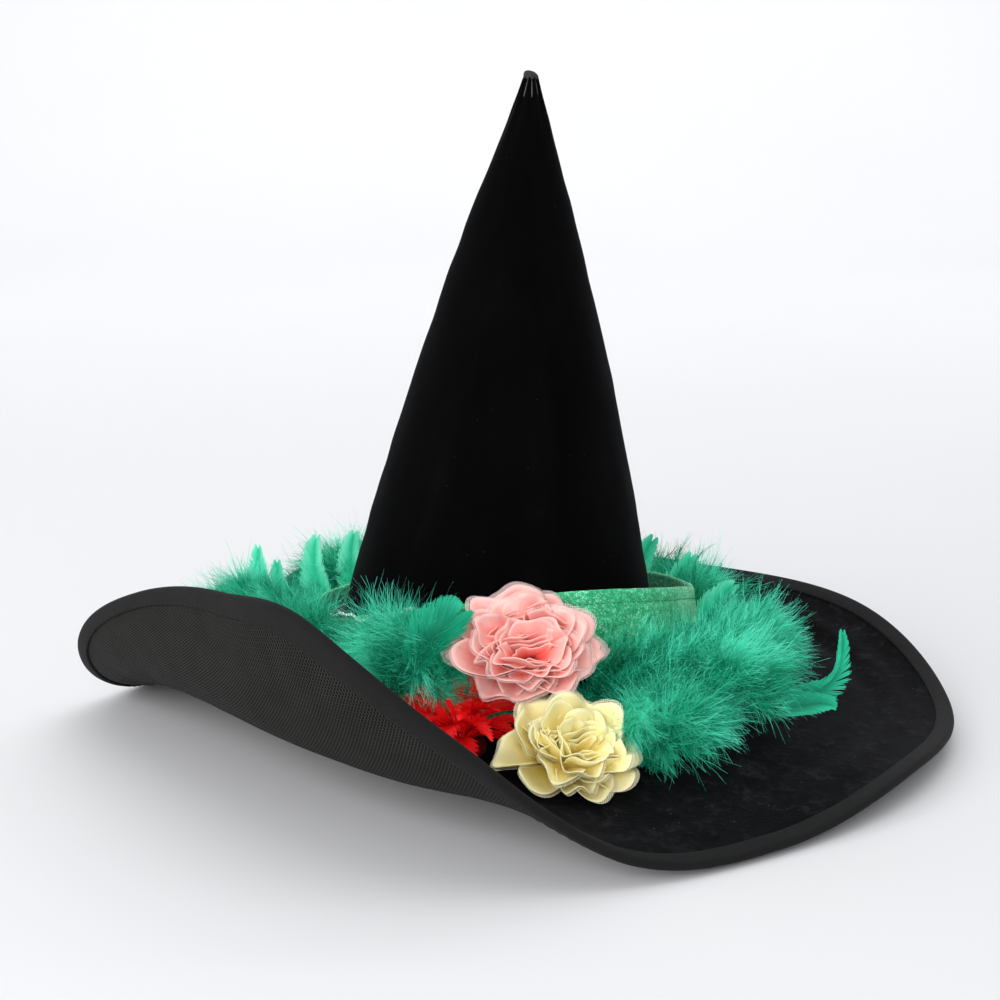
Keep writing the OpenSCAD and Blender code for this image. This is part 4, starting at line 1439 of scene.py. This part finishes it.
def make_flowers(feathers):
    pink_seat = seat_on_band(*PINK_SEAT, PAD_R)
    pink_seat.stretch = np.array([0.84, 1.06, 1.0])
    pink = satin("pink_satin", rgb(222, 52, 52), rgb(255, 134, 122), rgb(255, 204, 196))
    rosette("pink", pink_seat, PINK_R,
            [(0.008, 0.005, 0.021, 0.0105, 78, 4), (-0.010, -0.004, 0.019, 0.0070, 118, 3),
             (-0.008, 0.015, 0.013, 0.006, 50, 2)],
            pink, tulle("pink_tulle", rgb(255, 226, 222)), ("pink_outer", "pink_middle", "pink_heart"), 11)
    yellow_seat = seat_on_brim(*YELLOW_SEAT)
    yellow_seat.stretch = np.array([0.90, 1.0, 1.0])
    yellow = satin("yellow_satin", rgb(214, 160, 44), rgb(248, 226, 120), rgb(255, 248, 196))
    rosette("yellow", yellow_seat, YELLOW_R,
            [(0.004, 0.004, 0.019, 0.010, 62, 4), (-0.011, -0.004, 0.016, 0.007, 112, 2)],
            yellow, tulle("yellow_tulle", rgb(255, 250, 214)), ("yellow_outer", "yellow_middle", "yellow_heart"), 23)
    felt = felted("flower_felt", (0.03, 0.03, 0.03), (0.08, 0.08, 0.08), 900, 0.0003)
    for node in ("pink_felt", "yellow_felt"):
        dress(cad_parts[node], felt)
    dress(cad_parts["red_felt"], felted("red_felt", rgb(70, 0, 5), rgb(120, 5, 10), 900, 0.0003))
    make_red_flower(feathers)


def make_red_flower(feathers):
    """Curled feathers that fan out in three rings."""
    seat = seat_on_brim(*RED_SEAT)
    draw = np.random.default_rng(77)
    lines, sizes, facing = [], [], []
    for ring, (count, rise, reach) in enumerate([(9, 22, 0.038), (9, 42, 0.035), (7, 64, 0.030)]):
        for i in range(count):
            a = 2 * math.pi * (i + 0.5 * ring) / count + draw.normal(0, 0.1)
            up = math.radians(rise + draw.normal(0, 6))
            flat = np.array([math.cos(a), math.sin(a), 0])
            start = 0.003 * flat + 0.005 * UP
            tip = start + reach * (math.cos(up) * flat + math.sin(up) * UP)
            middle = (start + tip) / 2 + 0.012 * (math.cos(up) * UP - math.sin(up) * flat)
            tip = tip - 0.006 * (math.cos(up) * UP - math.sin(up) * flat)
            lines.append(seat.world(bow(start[None], middle[None], tip[None], 12)[0]))
            sizes.append(0.018 if ring < 2 else 0.015)
            facing.append((math.cos(up) * UP - math.sin(up) * flat) @ seat.axes)
    lines = np.array(lines)
    facing = np.broadcast_to(np.array(facing)[:, None], lines.shape)
    guide = guide_lines("red_vanes", lines, reach=np.array(sizes), tone=0.4 + 0.15 * draw.normal(size=len(sizes)),
                        facing=facing)
    # The last number is the red plumes' painted glow.
    red = plumage("red_plumes", rgb(120, 0, 4), rgb(222, 8, 16), rgb(250, 44, 48), 0.05, 0.10)
    vanes = feathers.grow(guide, "red_vanes", barbs=380, barb_width=0.0012, spread=0.48, spin=0.04, curl=0.25,
                          waviness=0.0007, wave_scale=80.0, root_length=0.4, tip_length=0.5, quill_radius=0.0004,
                          shortest=0.93, longest=1.03, seed=501, material=red)
    settle(vanes, None, "red_feather", "red_feathers")


# ---------------------------------------------------------------- camera, floor and light


CAMERA_PLACE = (-0.009, -1.250, 0.418)
CAMERA_TILT = math.radians(77.4)
FILM_MM = 36
LENS_MM = 78.55
FLOOR_Z = -0.0007
BEND_FROM = 2.6
BEND_R = 1.4


def place_camera():
    data = bpy.data.cameras.new("camera")
    data.sensor_width = FILM_MM
    data.lens = LENS_MM
    camera = bpy.data.objects.new("camera", data)
    camera.location = CAMERA_PLACE
    camera.rotation_euler = (CAMERA_TILT, 0, 0)
    bpy.context.scene.collection.objects.link(camera)
    bpy.context.scene.camera = camera
    bpy.context.scene.view_settings.view_transform = "Standard"


def make_floor():
    """Pale paper that lies flat and curves up far behind."""
    x = np.linspace(-5, 5, 41)
    run = np.linspace(-3.0, 6.5, 96)
    turned = np.clip((run - BEND_FROM) / BEND_R, 0, math.pi / 2)
    y = np.where(run < BEND_FROM, run, BEND_FROM + BEND_R * np.sin(turned))
    z = BEND_R * (1 - np.cos(turned)) + np.clip(run - BEND_FROM - BEND_R * math.pi / 2, 0, None)
    xx, yy = np.meshgrid(x, y, indexing="ij")
    zz = np.broadcast_to(z, xx.shape)
    paper = Shell().grid(np.stack([xx, yy, zz + FLOOR_Z], -1), np.stack([xx, yy], -1)).build("floor_paper")
    f = Finish("paper", roughness=0.85)
    tone = f.grain(f.place(), 2.0, 3.0)
    f.set(**{"Base Color": f.mix(tone, (0.74, 0.74, 0.75), (0.77, 0.77, 0.78))})
    dress(paper, f.material)


def soft_light(name, place, aim, size, power, color=(1, 1, 1)):
    data = bpy.data.lights.new(name, "AREA")
    data.shape = "RECTANGLE"
    data.size, data.size_y = size
    data.energy = power
    data.color = color
    lamp = bpy.data.objects.new(name, data)
    lamp.location = place
    lamp.rotation_euler = (Vector(aim) - Vector(place)).to_track_quat("-Z", "Y").to_euler()
    bpy.context.scene.collection.objects.link(lamp)


def make_lights():
    soft_light("overhead", (0.35, -0.25, 2.3), (0, 0, 0.1), (1.6, 1.3), 10)
    soft_light("front_fill", (-0.8, -2.3, 1.0), (0, 0, 0.1), (2.4, 1.6), 38)
    soft_light("left_fill", (-1.7, -0.9, 0.9), (-0.25, -0.1, 0), (1.4, 1.2), 12)
    soft_light("backdrop", (0, 1.9, 2.6), (0, 3.6, 0.4), (5.0, 1.5), 58)
    world = bpy.data.worlds.new("room")
    world.use_nodes = True
    sky = world.node_tree.nodes["Background"]
    sky.inputs["Color"].default_value = (0.96, 0.97, 1.0, 1)
    sky.inputs["Strength"].default_value = 0.66
    bpy.context.scene.world = world


# ---------------------------------------------------------------- the hat

place_camera()
bead_rows = row_recipe()
boa_feathers = feather_recipe()
make_crown()
make_tip(bpy.data.materials["crown_velvet"])
make_sweatband()
make_brim()
make_binding(bead_rows)
make_band(bead_rows)
make_beads(bead_rows)
make_boa(boa_feathers)
make_plumes(boa_feathers)
make_flowers(boa_feathers)
dress(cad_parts["crown_buckram"], bpy.data.materials["buckram"])
dress(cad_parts["brim_wire"], brushed_wire())
make_floor()
make_lights()
